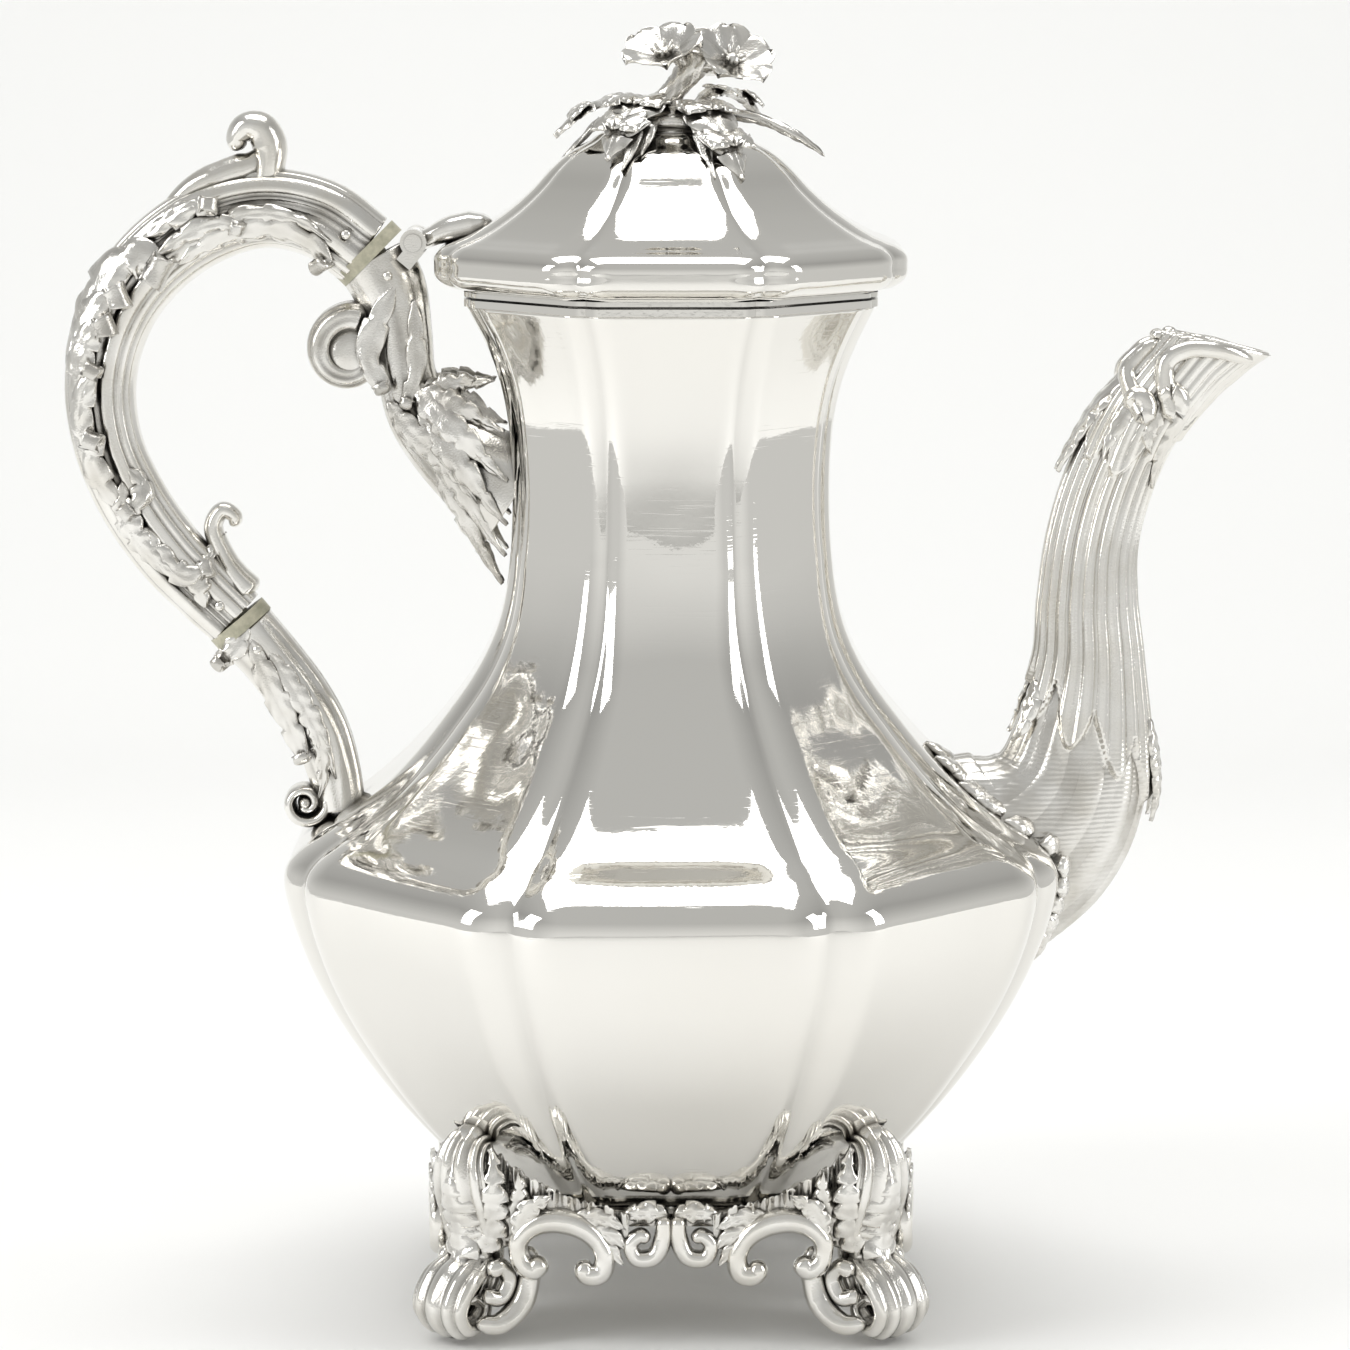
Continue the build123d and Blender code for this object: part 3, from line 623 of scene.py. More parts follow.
grip_skins = [capped_skin(*sweep(grip_path, ACROSS, grip_wide, grip_high, 128, grip_relief, power=2.3))]
GRIP_LEAVES = [  # spine as (x, z), half width, radius of the rolled tip, lobes
    ([(-103.0, 212.2), (-98.5, 215.6), (-93.6, 218.0), (-90.2, 218.0)], 2.6, 1.7, 3),
    ([(-101.0, 208.8), (-94.0, 213.4), (-88.6, 215.2), (-85.2, 214.6)], 2.2, 1.3, 3),
    ([(-97.0, 206.8), (-88.0, 212.6), (-78.0, 214.2), (-71.0, 211.6), (-68.0, 208.6)], 3.2, 1.6, 6),
    ([(-92.0, 213.8), (-82.0, 217.0), (-73.0, 215.8), (-66.4, 211.4)], 2.0, 0.0, 4),
    ([(-117.4, 189.0), (-114.8, 198.0), (-110.4, 205.4), (-104.6, 208.4), (-100.6, 206.4)], 5.0, 2.5, 5),
    ([(-116.6, 186.0), (-115.6, 193.0), (-112.6, 198.6), (-108.2, 200.6)], 4.0, 2.1, 4),
    ([(-117.0, 180.0), (-116.6, 187.6), (-114.2, 193.4), (-110.8, 195.0)], 3.6, 1.9, 4),
    ([(-114.6, 168.0), (-116.4, 175.0), (-115.6, 181.4), (-113.6, 186.0)], 2.8, 1.3, 4),
    ([(-109.0, 158.6), (-112.6, 163.6), (-114.4, 168.6), (-113.6, 172.4)], 3.2, 1.6, 3),
    ([(-107.4, 166.6), (-104.8, 163.6), (-105.2, 160.4), (-107.4, 158.4)], 2.6, 1.4, 3),
    ([(-108.6, 164.0), (-107.8, 156.6), (-103.4, 150.0), (-97.0, 144.8)], 3.0, 0.0, 6),
    ([(-104.6, 155.0), (-101.0, 148.8), (-96.4, 145.4), (-92.6, 146.2)], 2.8, 1.6, 4),
    ([(-92.6, 138.6), (-93.6, 144.0), (-91.4, 149.4), (-89.4, 152.4)], 2.6, 0.0, 4),
]
flank_leaves = [
    flank_leaf(grip_line, spine, width, curl=roll, lobes=lobes, thickness=1.0, ragged=0.34)
    for spine, width, roll, lobes in GRIP_LEAVES
]
grip_skins += both_sides(flank_leaves)
back_leaf = on_flank(
    grip_line,
    [(-111.0, 156.0), (-117.8, 170.0), (-119.6, 184.0), (-117.0, 198.0), (-108.0, 210.6), (-97.0, 219.0)],
)[0]
back_leaf[:, 1] = 0.0
grip_skins.append(
    leaf(
        back_leaf, unit(back_leaf - np.array([-80.0, 0.0, 180.0])), 3.8, 0.7, lobes=6, cup=-1.2,
        count=110,
    ),
)
THUMB = [
    (-81.4, 219.0), (-79.4, 224.0), (-78.8, 229.0), (-80.4, 232.9), (-83.4, 233.5), (-85.3, 231.2),
    (-84.2, 229.2),
]
grip_skins.append(
    rod(
        in_plane(THUMB), [3.4, 3.9, 4.4, 4.7, 4.5, 3.8, 2.6], [3.8, 3.1, 3.0, 3.5, 3.3, 2.7, 1.6],
        count=90, columns=36, ends=0.06,
    ),
)
THUMB_TAIL = [(-101.0, 216.4), (-94.0, 221.6), (-87.6, 224.2), (-82.6, 226.2), (-80.0, 229.6)]
grip_skins.append(
    rod(in_plane(THUMB_TAIL), [1.4, 3.2, 3.9, 3.9, 2.4], [1.0, 2.2, 3.1, 3.2, 1.8], columns=36, ends=0.2),
)
SPUR = [
    (-83.6, 140.6), (-87.4, 145.4), (-90.0, 150.4), (-91.2, 154.6), (-89.4, 157.6), (-86.9, 156.4),
    (-87.4, 154.2),
]
grip_skins.append(
    rod(
        in_plane(SPUR), [4.0, 3.8, 3.4, 3.2, 3.0, 2.6, 2.0], [3.4, 2.8, 2.3, 2.1, 1.9, 1.7, 1.3],
        count=90, ends=0.08,
    ),
)
make_piece("handle_grip_casting", grip_skins, chased, "pot", "cast_silver", "handle_grip")

# ================================================================ sockets
# Two castings soldered to the body take the handle's tenons. The upper one rolls into a volute and
# spreads over the neck in long leaves, and the lower one ends in a small volute on the shoulder.


def spiral(centre, radius, start, sweep_angle, shrink, count=11):
    """Points (x, z) on a spiral about centre whose radius falls to shrink times its first value."""
    t = np.linspace(0, 1, count)
    a = np.radians(start + sweep_angle * t)
    r = radius * (1 - (1 - shrink) * t)
    return np.stack([centre[0] + r * np.cos(a), centre[1] + r * np.sin(a)], 1)


def socket_relief(u, angle):
    """Shallow flutes along a socket, fading out at its ends."""
    return -0.5 * abs(np.cos(4 * angle)) ** 6 * np.sin(np.pi * u) ** 0.5


UPPER = [  # x, z, half height, half width
    (-58.9, 207.9, 7.6, 6.2),
    (-55.5, 201.4, 7.4, 6.2),
    (-53.4, 193.0, 6.3, 6.0),
    (-52.4, 184.6, 6.0, 6.0),
    (-49.8, 177.2, 6.8, 6.4),
    (-44.6, 170.8, 8.0, 7.4),
    (-37.5, 165.2, 10.0, 8.6),
    (-31.0, 161.0, 12.0, 9.6),
]
upper_line = smooth_line([(x, 0, z, h, w) for x, z, h, w in UPPER], 160)
upper_skins = [
    capped_skin(*sweep(upper_line[:, :3], ACROSS, upper_line[:, 4], upper_line[:, 3], 72, socket_relief))
]
roll = spiral((-63.4, 189.4), 7.2, 60, 460, 0.25, 16)
roll_width = np.linspace(6.0, 4.2, 16)
roll_height = np.linspace(3.3, 2.2, 16)
upper_skins.append(
    rod(
        in_plane(roll), roll_width, roll_height, count=150, columns=60, ends=0.06, power=2.4,
        relief=socket_relief,
    ),
)
upper_skins.append(rod([(-63.0, -5.0, 189.2), (-63.0, 5.0, 189.2)], 5.6, 5.6, side=(1, 0, 0), ends=0.3))
NECK_LEAVES = [  # tip height, tip distance from the middle plane, half width, start along the socket
    (184.0, 3.4, 2.6, 0.50),
    (174.0, 7.6, 3.2, 0.46),
    (164.4, 9.6, 3.6, 0.44),
    (155.6, 9.0, 3.4, 0.46),
    (149.0, 5.6, 3.0, 0.50),
    (142.9, 1.8, 2.8, 0.56),
]


def panel_x(z):
    """Distance from the pot's axis to the middle of a panel at height z."""
    return np.interp(z, body_profile[:, 1], body_profile[:, 0])


neck_leaves = []
for tip_z, tip_y, half, start in NECK_LEAVES:
    root = upper_line[int(start * 159)]
    tip = np.array([-panel_x(tip_z) - 0.9, -tip_y, tip_z])
    first = np.array([root[0], -root[4] * 0.75, root[2]])
    middle = first * 0.45 + tip * 0.55 + np.array([-1.0, -2.6, 1.0])
    late = first * 0.18 + tip * 0.82 + np.array([-0.8, -0.9, 0.2])
    facing = [(-0.1, -1, 0.1), (-0.3, -1, 0.1), (-0.7, -0.8, 0), (-1, -0.5, 0)]
    neck_leaves.append(leaf([first, middle, late, tip], facing, half, 0.9, lobes=5, cup=-0.5, count=70))
curl_leaves = [
    leaf(
        [(-54, -5.6, 203), (-57.6, -6.0, 196), (-59.6, -5.9, 189), (-57.0, -6.0, 183)], (0, -1, 0),
        2.8, 0.8, lobes=3, curl=1.3,
    ),
    leaf(
        [(-50.5, -5.2, 200), (-50.2, -5.8, 193), (-50.2, -5.9, 186), (-52.0, -6.0, 180)],
        (0, -1, 0), 2.2, 0.8, lobes=3, curl=1.2,
    ),
    leaf(
        [(-56, -5.2, 180), (-51, -6.6, 174), (-44, -8.0, 168), (-38, -9.4, 160)], (-0.2, -1, -0.2),
        3.0, 0.9, lobes=6,
    ),
]
upper_skins += both_sides(neck_leaves + curl_leaves)
# The whole upper socket casting gets extra recess, so it comes out darker all over.
UPPER_DARKENING = 0.3
upper_skins = [(p, q, t, np.clip(shade + UPPER_DARKENING, 0, 1)) for p, q, t, shade in upper_skins]
make_piece("handle_upper_socket_casting", upper_skins, chased, "pot", "cast_silver", "handle_upper_socket")

LOWER = [
    (-85.0, 133.5, 6.4, 5.4),
    (-79.9, 127.6, 6.2, 5.4),
    (-74.4, 120.2, 6.2, 5.4),
    (-70.2, 112.6, 6.0, 5.2),
    (-67.6, 104.5, 5.4, 5.0),
    (-66.4, 97.4, 5.0, 4.8),
]
lower_line = smooth_line([(x, 0, z, h, w) for x, z, h, w in LOWER], 130)
lower_skins = [
    capped_skin(*sweep(lower_line[:, :3], ACROSS, lower_line[:, 4], lower_line[:, 3], 72, socket_relief))
]
small_roll = spiral((-73.4, 98.8), 4.6, 20, -560, 0.12, 18)
lower_skins.append(
    rod(in_plane(small_roll), 4.4, np.linspace(1.5, 1.0, 18), count=160, columns=26, ends=0.05, power=2.4),
)
lower_skins.append(rod([(-73.4, -4.7, 98.8), (-73.4, 4.7, 98.8)], 1.6, 1.6, side=(1, 0, 0), ends=0.4))
lower_leaves = [
    leaf(
        [(-84.6, -4.6, 136), (-86.6, -5.0, 131), (-89.6, -4.4, 127.8)], (-0.2, -1, 0), 2.6, 0.8,
        lobes=3, curl=1.4,
    ),
    leaf(
        [(-84, -4.8, 133), (-80.4, -5.6, 124.5), (-76.4, -5.4, 116), (-73.6, -5.2, 109)],
        (-0.2, -1, 0), 2.8, 0.8, lobes=5, curl=1.2,
    ),
    leaf(
        [(-80, -4.8, 130), (-75, -5.6, 122), (-70.6, -5.4, 114), (-67, -5.0, 104)], (0, -1, 0), 2.6,
        0.8, lobes=6,
    ),
    leaf(
        [(-73, -5.2, 120), (-70.0, -5.2, 111), (-69.6, -4.8, 104), (-70.6, -4.4, 100)],
        (-0.1, -1, 0), 2.2, 0.8, lobes=4,
    ),
]
lower_skins += both_sides(lower_leaves)
make_piece("handle_lower_socket_casting", lower_skins, chased, "pot", "cast_silver", "handle_lower_socket")

# ================================================================ insulators, pins and hinge
# Collars of aged ivory keep the grip cool. Silver pins go through their tenons, and the lid's strap
# turns on a plain pin between two knuckles.


def old_ivory():
    """Ivory gone green-grey: streaks of growth rings, darker in blotches, painted shade in hollows and
    beside the silver, dull polish.
    """
    f = Finish(bpy.data.materials.new("aged ivory"))
    stretch = f.node("ShaderNodeMapping", None, Vector=f.place(), Scale=(500, 90, 500))
    streak = f.noise(1.0, 5, 0.6, stretch)
    blotch = f.noise(260, 3)
    # Painted shade: the ambient occlusion darkens the ivory in hollows and beside the silver; the blotches
    # darken it at random.
    near = f.node("ShaderNodeAmbientOcclusion", {"samples": 6}, Distance=0.0012, out="AO")
    pale = f.mix(f.ramp(streak, 0.35, 0.7), (0.36, 0.35, 0.26), (0.60, 0.57, 0.44))
    colour = f.mix(
        f.ramp(1 - near, 0.3, 0.9) * 0.7 + f.ramp(blotch, 0.55, 0.8) * 0.2, pale,
        (0.12, 0.11, 0.07),
    )
    return f.finish(
        Base_Color=colour,
        Roughness=0.34 + streak * 0.2,
        Normal=f.bump(streak, 0.25, 0.0003),
    )


ivory = old_ivory()
finish_nodes(ivory, "upper_insulator", "lower_insulator")
HINGE_X, HINGE_Z, BARREL_R = -50.5, 211.3, 2.6
STRAP = [(-50.6, 211.0), (-48.4, 211.6), (-44.6, 213.2), (-39.4, 214.4), (-35.4, 215.4)]
strap_skins = [
    rod(
        in_plane(STRAP), [3.0, 4.6, 4.9, 4.8, 3.6], [1.8, 2.0, 2.7, 2.7, 1.0], power=2.8,
        columns=36, ends=0.12,
    ),
    rod(
        [(HINGE_X, -3.2, HINGE_Z), (HINGE_X, 3.2, HINGE_Z)], BARREL_R, BARREL_R, side=(1, 0, 0),
        columns=36, ends=0.08,
    ),
]
make_piece("hinge_strap_casting", strap_skins, chased, "lid", "cast_silver", "hinge_strap")
finish_nodes(chased, "hinge_knuckles", "hinge_pin", "finial_stud", "finial_nut", "finial_boss")


PIN_R, PIN_PROUD = 0.95, 0.2


def pin_skins(node):
    """Domed pins along Y in place of the two plain ones of a node."""
    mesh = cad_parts[node].data
    x, y, z = np.array([v.co for v in mesh.vertices]).T / MM
    left = x < (x.min() + x.max()) / 2
    skins = []
    for group in (left, ~left):
        cx, cz = (x[group].min() + x[group].max()) / 2, (z[group].min() + z[group].max()) / 2
        reach = y.max() + PIN_PROUD
        skins.append(
            rod([(cx, -reach, cz), (cx, reach, cz)], PIN_R, PIN_R, side=(1, 0, 0), count=50, ends=0.05),
        )
    return skins


for node in ("upper_insulator_pins", "lower_insulator_pins"):
    make_piece(node + "_domed", pin_skins(node), chased, "pot", "cast_silver", node)

# ================================================================ spout
# Cast in two halves and soldered along the middle. Fine reeds run up to a leafy cap with a drawn lip,
# long leaves hang over a matted root, and a ragged leaf border hides the joint with the body.

SPOUT = [  # x, z, half height, half width
    (61.0, 86.0, 24.6, 15.6),
    (73.0, 92.8, 21.2, 13.8),
    (79.8, 101.7, 17.8, 12.1),
    (82.3, 113.5, 14.7, 10.2),
    (83.5, 127.4, 11.6, 9.0),
    (83.2, 139.5, 10.3, 8.5),
    (84.0, 151.6, 9.4, 8.0),
    (87.4, 164.2, 9.0, 7.7),
    (93.3, 176.0, 8.5, 7.4),
    (101.6, 186.0, 8.2, 6.9),
    (107.4, 191.0, 8.2, 6.4),
    (117.3, 196.0, 7.3, 4.9),
]
SPOUT_WALL, SPOUT_COLUMNS = 1.9, 208
SPOUT_LIP = np.array([97.0, 193.6])
SPOUT_TIP = np.array([119.9, 188.3])
spout_line = smooth_line([(x, 0, z, h, w) for x, z, h, w in SPOUT], 420)
bare_spout, _ = sweep(spout_line[:, :3], ACROSS, spout_line[:, 4], spout_line[:, 3], SPOUT_COLUMNS)
SPOUT_Z = bare_spout[..., 2]


def step(distance, width):
    """Rises smoothly from 0 to 1 as distance goes from 0 to width."""
    t = np.clip(distance / width, 0, 1)
    return t * t * (3 - 2 * t)


def spout_relief(u, angle):
    """A matted root with broad flutes; over it a reeded sleeve whose lower edge hangs in leaf tips; over
    that a plain cap whose lower edge hangs in pointed leaves. Each layer stands proud of the last."""
    from_pot = np.arccos(np.clip(np.sin(angle), -1, 1))
    tips = abs(np.cos(4.5 * from_pot + 0.4)) ** 0.7
    sleeve_edge = 131.0 - 8.6 * from_pot - 7.0 * tips - 2.0 * np.cos(9 * from_pot)
    points = abs(np.cos(4 * from_pot + 0.2)) ** 0.5
    cap_edge = 176.0 - 8.0 * points + 3.0 * np.cos(2 * from_pot)
    sleeve = step(SPOUT_Z - sleeve_edge, 1.1)
    cap = step(SPOUT_Z - cap_edge, 1.0)
    flutes = -1.5 * (1 - abs(np.sin(6 * from_pot + 0.5)) ** 0.5)
    reeds = -1.15 * (1 - abs(np.sin(11 * from_pot + 0.6)) ** 0.55)
    veins = -0.45 * abs(np.sin(14 * from_pot + 0.16 * SPOUT_Z)) ** 4
    lip = step(u - 0.9, 0.08)
    return (1 - sleeve) * (flutes - 1.5) + sleeve * (1 - cap) * reeds + cap * (0.75 + veins) * (1 - lip)


def cut_at_mouth(grid):
    """Ends every column of the grid on the oblique plane of the mouth and spaces its rows evenly."""
    rows, columns = grid.shape[:2]
    along = SPOUT_TIP - SPOUT_LIP
    above = (grid[..., 2] - SPOUT_LIP[1]) * along[0] - (grid[..., 0] - SPOUT_LIP[0]) * along[1]
    inside = np.cumprod(above[rows // 2:] < 0, axis=0).sum(0) + rows // 2 - 1
    inside = np.minimum(inside, rows - 2)
    c = np.arange(columns)
    here, there = above[inside, c], above[inside + 1, c]
    end = inside + here / (here - there)
    place = np.linspace(0, 1, rows)[:, None] * end[None, :]
    low = np.minimum(place.astype(int), rows - 2)
    part = (place - low)[..., None]
    return grid[low, c] * (1 - part) + grid[low + 1, c] * part


spout_grid, spout_recess = sweep(
    spout_line[:, :3], ACROSS, spout_line[:, 4], spout_line[:, 3], SPOUT_COLUMNS, spout_relief
)
channel_grid, _ = sweep(
    spout_line[
        ::3, :3,
    ], ACROSS, spout_line[::3, 4] - SPOUT_WALL, spout_line[::3, 3] - SPOUT_WALL, SPOUT_COLUMNS
)
spout_grid, channel_grid = cut_at_mouth(spout_grid), cut_at_mouth(channel_grid)[::-1]
wall = np.concatenate([spout_grid, channel_grid])
spout_shade = np.concatenate(
    [np.broadcast_to(spout_recess, spout_grid.shape[:2]), np.ones(channel_grid.shape[:2])],
)
spout_skins = [ring_skin(wall, spout_shade)]
SPOUT_LEAVES = [  # spine as (x, z), half width, radius of the rolled tip, lobes
    ([(95.0, 189.4), (90.2, 184.6), (84.4, 178.4), (79.8, 170.4), (77.4, 165.4)], 2.8, 0.0, 5),
    ([(94.4, 183.6), (90.0, 178.2), (86.6, 172.4), (85.4, 168.4)], 2.6, 0.0, 4),
    ([(98.0, 180.4), (95.4, 176.6), (94.0, 172.6), (94.4, 169.8)], 2.2, 0.0, 3),
    ([(106.8, 183.0), (102.0, 178.4), (98.0, 172.6), (95.4, 165.8), (94.6, 162.8)], 2.2, 0.0, 5),
    ([(96.4, 184.6), (100.0, 189.2), (106.0, 190.2), (112.0, 188.8)], 2.0, 0.0, 5),
    ([(72.4, 124.0), (71.6, 119.0), (70.2, 114.6), (68.6, 112.0)], 2.4, 0.0, 3),
    ([(96.0, 116.0), (97.0, 108.0), (97.0, 101.0), (95.6, 95.6)], 2.6, 0.0, 5),
]
spout_ornament = [
    flank_leaf(spout_line, spine, width, curl=roll, lobes=lobes, thickness=0.8, ragged=0.3)
    for spine, width, roll, lobes in SPOUT_LEAVES
]
volutes = [
    np.vstack(
        [spiral((92.0, 179.4), 0.5, 240, -300, 4.2, 9), [(90.6, 184.4), (93.2, 188.2), (96.4, 191.2)]],
    ),
    np.vstack(
        [
            spiral((98.0, 180.6), 0.5, 240, -320, 4.6, 9),
            [(97.4, 186.6), (101.4, 190.0), (107.6, 190.2), (114.6, 188.4)],
        ],
    ),
]
VOLUTE_HALF = np.linspace(2.3, 1.5, 10)
spout_ornament += [
    flank_rod(spout_line, points, VOLUTE_HALF, lift=0.9, count=90) for points in volutes
]
spout_skins += both_sides(spout_ornament)
LIP_BEADS = [(96.4, 1.5, 192.6), (96.4, -1.5, 192.6), (98.6, 0, 193.2)]
for x, y, z in LIP_BEADS:
    spout_skins.append(
        rod([(x, y, z - 1.2), (x, y, z + 1.2)], 1.5, 1.5, side=(1, 0, 0), count=20, ends=0.5),
    )
rim = spout_grid[-1]
edge_line = smooth_line(np.vstack([rim, rim[:1]])[::4], 160)
spout_skins.append(
    capped_skin(*sweep(edge_line + 1.3 * unit(edge_line.mean(0) - edge_line), UP, 0.5, 0.9, 14)),
)

ROOT_MIDDLE, ROOT_HIGH, ROOT_WIDE = 88.0, 20.6, 14.6
BORDER_LEAVES = 30
for k in range(BORDER_LEAVES):
    turn = 2 * math.pi * (k + 0.5) / BORDER_LEAVES
    stretch = np.linspace(0.84, 1.10 + 0.05 * math.sin(5.3 * k), 5)
    z = ROOT_MIDDLE + ROOT_HIGH * stretch * math.cos(turn)
    y = ROOT_WIDE * stretch * math.sin(turn + 0.10 * math.sin(3.1 * k))
    x = panel_x(z) + np.array([1.6, 2.0, 1.7, 1.1, 0.1])
    facing = np.array([1.0, 0.25 * math.sin(turn), 0.6 if z[2] > RIDGE_Z else 0.0])
    spout_skins.append(
        leaf(np.stack([x, y, z], 1), facing, 2.5, 1.1, lobes=2, cup=-0.3, ragged=0.2, count=26, columns=14)
    )


def spout_silver():
    """The casting's finish, with fine level lines chased across the matted root."""
    f = Finish(bpy.data.materials.new("chased spout silver"))
    depth = f.node("ShaderNodeAttribute", {"attribute_name": "recess"}, out="Fac")
    # Painted shade: the ambient occlusion darkens the colour in hollows and beside other parts; the recess
    # term adds patchy tarnish in the relief.
    near = f.node("ShaderNodeAmbientOcclusion", {"samples": 8}, Distance=0.0022, out="AO")
    cloud = f.noise(120, 4)
    height = f.node("ShaderNodeSeparateXYZ", None, f.place(), out="Z")
    root = 1 - f.ramp(height, 0.104, 0.114)
    lines = f.node(
        "ShaderNodeTexWave", {"bands_direction": "Z"}, Vector=f.place(), Scale=320.0,
        Distortion=1.5, Detail=1.0, out=1,
    )
    dark = f.ramp(1 - near, 0.3, 0.9) * 0.8 + depth * f.ramp(cloud, 0.2, 0.7) * 0.4
    dark = f.node("ShaderNodeClamp", None, dark)
    silver = f.mix(f.ramp(cloud, 0.4, 0.7), SILVER_BRIGHT, SILVER_WARM)
    colour = f.mix(dark, silver, TARNISH_AND_SHADE)
    rough = 0.12 + f.ramp(cloud, 0.4, 0.8) * 0.08 + dark * 0.25 + root * 0.14
    cut = f.bump(lines * root * 0.6 + f.noise(2400, 2) * 0.3, 0.3, 0.0003)
    return f.finish(Base_Color=colour, Metallic=1.0, Roughness=rough, Normal=cut)


make_piece(
    "spout_casting", spout_skins, spout_silver(), "pot", "cast_silver", "spout_near_half",
    "spout_far_half",
)

# ================================================================ feet
# Four castings. Each has a ribbed scroll toe, a leafy leg that ends in a curled knob against the
# belly, and two wings of C-scrolls and frilled leaf that meet the next foot's in the middle of a side.

WING_OUT = node_mm("base_ring")[1][0] + 1.5


def rib_relief(u, angle):
    """Four ribs across the toe, cut by dark grooves."""
    return -0.75 * abs(np.sin(2 * np.pi * np.clip(np.cos(angle), -1, 1))) ** 4 * np.sin(np.pi * u) ** 0.3


def leg_relief(u, angle):
    """Soft flutes up the leg."""
    return -1.0 * abs(np.sin(5 * angle)) ** 3


TOE = [
    (53.0, 16.0), (57.0, 13.8), (61.4, 11.0), (63.6, 6.5), (61.4, 2.9), (57.6, 3.2), (55.4, 6.0),
    (57.4, 8.2), (59.6, 6.6),
]
LEG = [
    (51.0, 38.4), (55.4, 38.6), (57.8, 35.0), (57.6, 29.4), (55.2, 22.5), (53.2, 16.0), (54.4, 9.5),
    (57.0, 6.0),
]
leg_skins = [
    rod(
        in_plane(TOE), [5.4, 6.2, 7.0, 7.1, 6.9, 6.4, 5.8, 5.0, 4.0],
        [2.6, 2.9, 3.1, 3.0, 2.8, 2.5, 2.2, 1.8, 1.3], count=130, columns=64, ends=0.05,
        relief=rib_relief, power=2.6,
    ),
    rod(
        in_plane(LEG), [4.2, 5.4, 7.0, 7.8, 7.6, 6.2, 5.4, 4.6],
        [2.0, 2.8, 3.0, 3.4, 3.6, 3.6, 3.4, 2.8], count=120, columns=64, ends=0.07,
        relief=leg_relief,
    ),
    rod([(54.6, -3.0, 39.4), (54.6, 3.0, 39.4)], 2.6, 2.6, side=(1, 0, 0), columns=24, ends=0.3),
    leaf(in_plane([(60.6, 12.6), (58.4, 17.0), (58.6, 22.0), (60.4, 26.0)]),
         in_plane([(1, 0.8), (1, 0.1), (1, -0.1), (1, -0.2)]), 4.6, 1.1, lobes=3, cup=-1.0, ragged=0.4),
    leaf(in_plane([(59.4, 13.0), (57.6, 19.0), (60.0, 25.6), (61.0, 31.0), (59.6, 36.0)]),
         in_plane([(1, 0.6), (1, 0.1), (1, -0.2), (1, 0.0), (0.9, 0.4)]),
         6.4, 0.8, lobes=7, cup=-2.4, count=90, ragged=0.4),
]
side_leaves = [
    leaf(
        [
            (56.2, -3.6, 15.0), (56.0, -6.6, 22.0), (57.0, -8.0, 29.0), (56.4, -7.6, 35.0),
            (55.0, -5.6, 39.0),
        ],
        (0.8, -0.6, 0.1), 3.6, 0.9, lobes=7, cup=-0.8, ragged=0.5, count=90,
    ),
    leaf(
        [(53.6, -6.0, 18.0), (53.0, -9.6, 24.0), (53.6, -12.0, 30.0), (54.4, -12.6, 34.6)],
        (0.8, -0.6, 0.1), 3.0, 0.9, lobes=6, cup=-0.8, ragged=0.5, count=80,
    ),
    rod(
        [(60.0, -6.2, 4.2), (55.6, -8.4, 3.6), (50.6, -9.2, 7.0), (48.8, -9.8, 13.0), (49.6, -10.6, 18.4)],
        [1.6, 2.4, 2.7, 2.3, 1.6], [1.6, 2.2, 2.4, 2.2, 1.6], side=(0, 1, 0), count=60,
    ),
    rod(
        [(58.4, -6.4, 9.6), (54.6, -7.4, 8.4), (52.4, -7.6, 11.6), (54.2, -7.4, 14.6), (57.0, -6.6, 13.4)],
        1.7, 1.7, side=(0, 1, 0), count=50,
    ),
]
leg_skins += both_sides(side_leaves)


def on_wing(points, depth=0.0):
    """Points (distance along a side from its middle, z, further out) on the face of the side panel."""
    return [(WING_OUT + depth + (p[2] if len(p) > 2 else 0.0), p[0], p[1]) for p in points]


OUT = np.array([1.0, 0.0, 0.0])
ARCH = [
    (24.6, 17.0), (26.8, 14.6), (29.2, 16.4), (29.4, 20.6), (26.0, 23.8), (21.0, 24.4),
    (16.0, 22.2), (13.0, 17.8), (13.6, 14.0), (16.6, 13.8), (16.8, 16.6),
]
HOOK = [(1.5, 25.4), (1.5, 21.0), (3.2, 17.2), (6.6, 16.8), (7.8, 19.6), (5.8, 21.4), (4.6, 19.8)]
BAND = [(0.4, 25.2, 0.6), (4.4, 26.0, 1.4), (10.4, 25.2, 1.2)]
wing_skins = [
    rod(
        on_wing(ARCH, 1.4), [2.4, 2.3, 2.1, 2.3, 2.6, 2.8, 2.6, 2.3, 2.3, 2.4, 2.2],
        [2.2, 2.1, 1.9, 2.0, 2.4, 2.6, 2.4, 2.0, 2.1, 2.2, 1.8], side=OUT, count=130, columns=26,
        ends=0.05,
    ),
    rod(
        on_wing(HOOK, 1.0), [2.0, 2.1, 2.2, 2.2, 2.1, 2.0, 1.8],
        [1.6, 1.8, 1.9, 1.8, 1.7, 1.6, 1.4], side=OUT, count=80, ends=0.08,
    ),
    leaf(on_wing(BAND), OUT, 2.4, 1.3, lobes=3, cup=-0.5, ragged=0.3),
]
across = np.linspace(8.2, 36.0, 130)[:, None]
low_edge = np.interp(
    across, [8.2, 11.0, 13.0, 16.0, 21.0, 26.0, 30.0, 36.0],
    [19.0, 18.0, 19.0, 21.6, 23.0, 22.4, 19.0, 16.0],
)
high_edge = np.interp(across, [8.6, 12.0, 18.0, 24.0, 29.0, 34.0], [24.6, 26.4, 27.8, 30.4, 33.0, 36.0])
high_edge = high_edge + 0.9 * abs(np.sin(across * 0.9)) + 0.5 * abs(np.sin(across * 2.3 + 1))
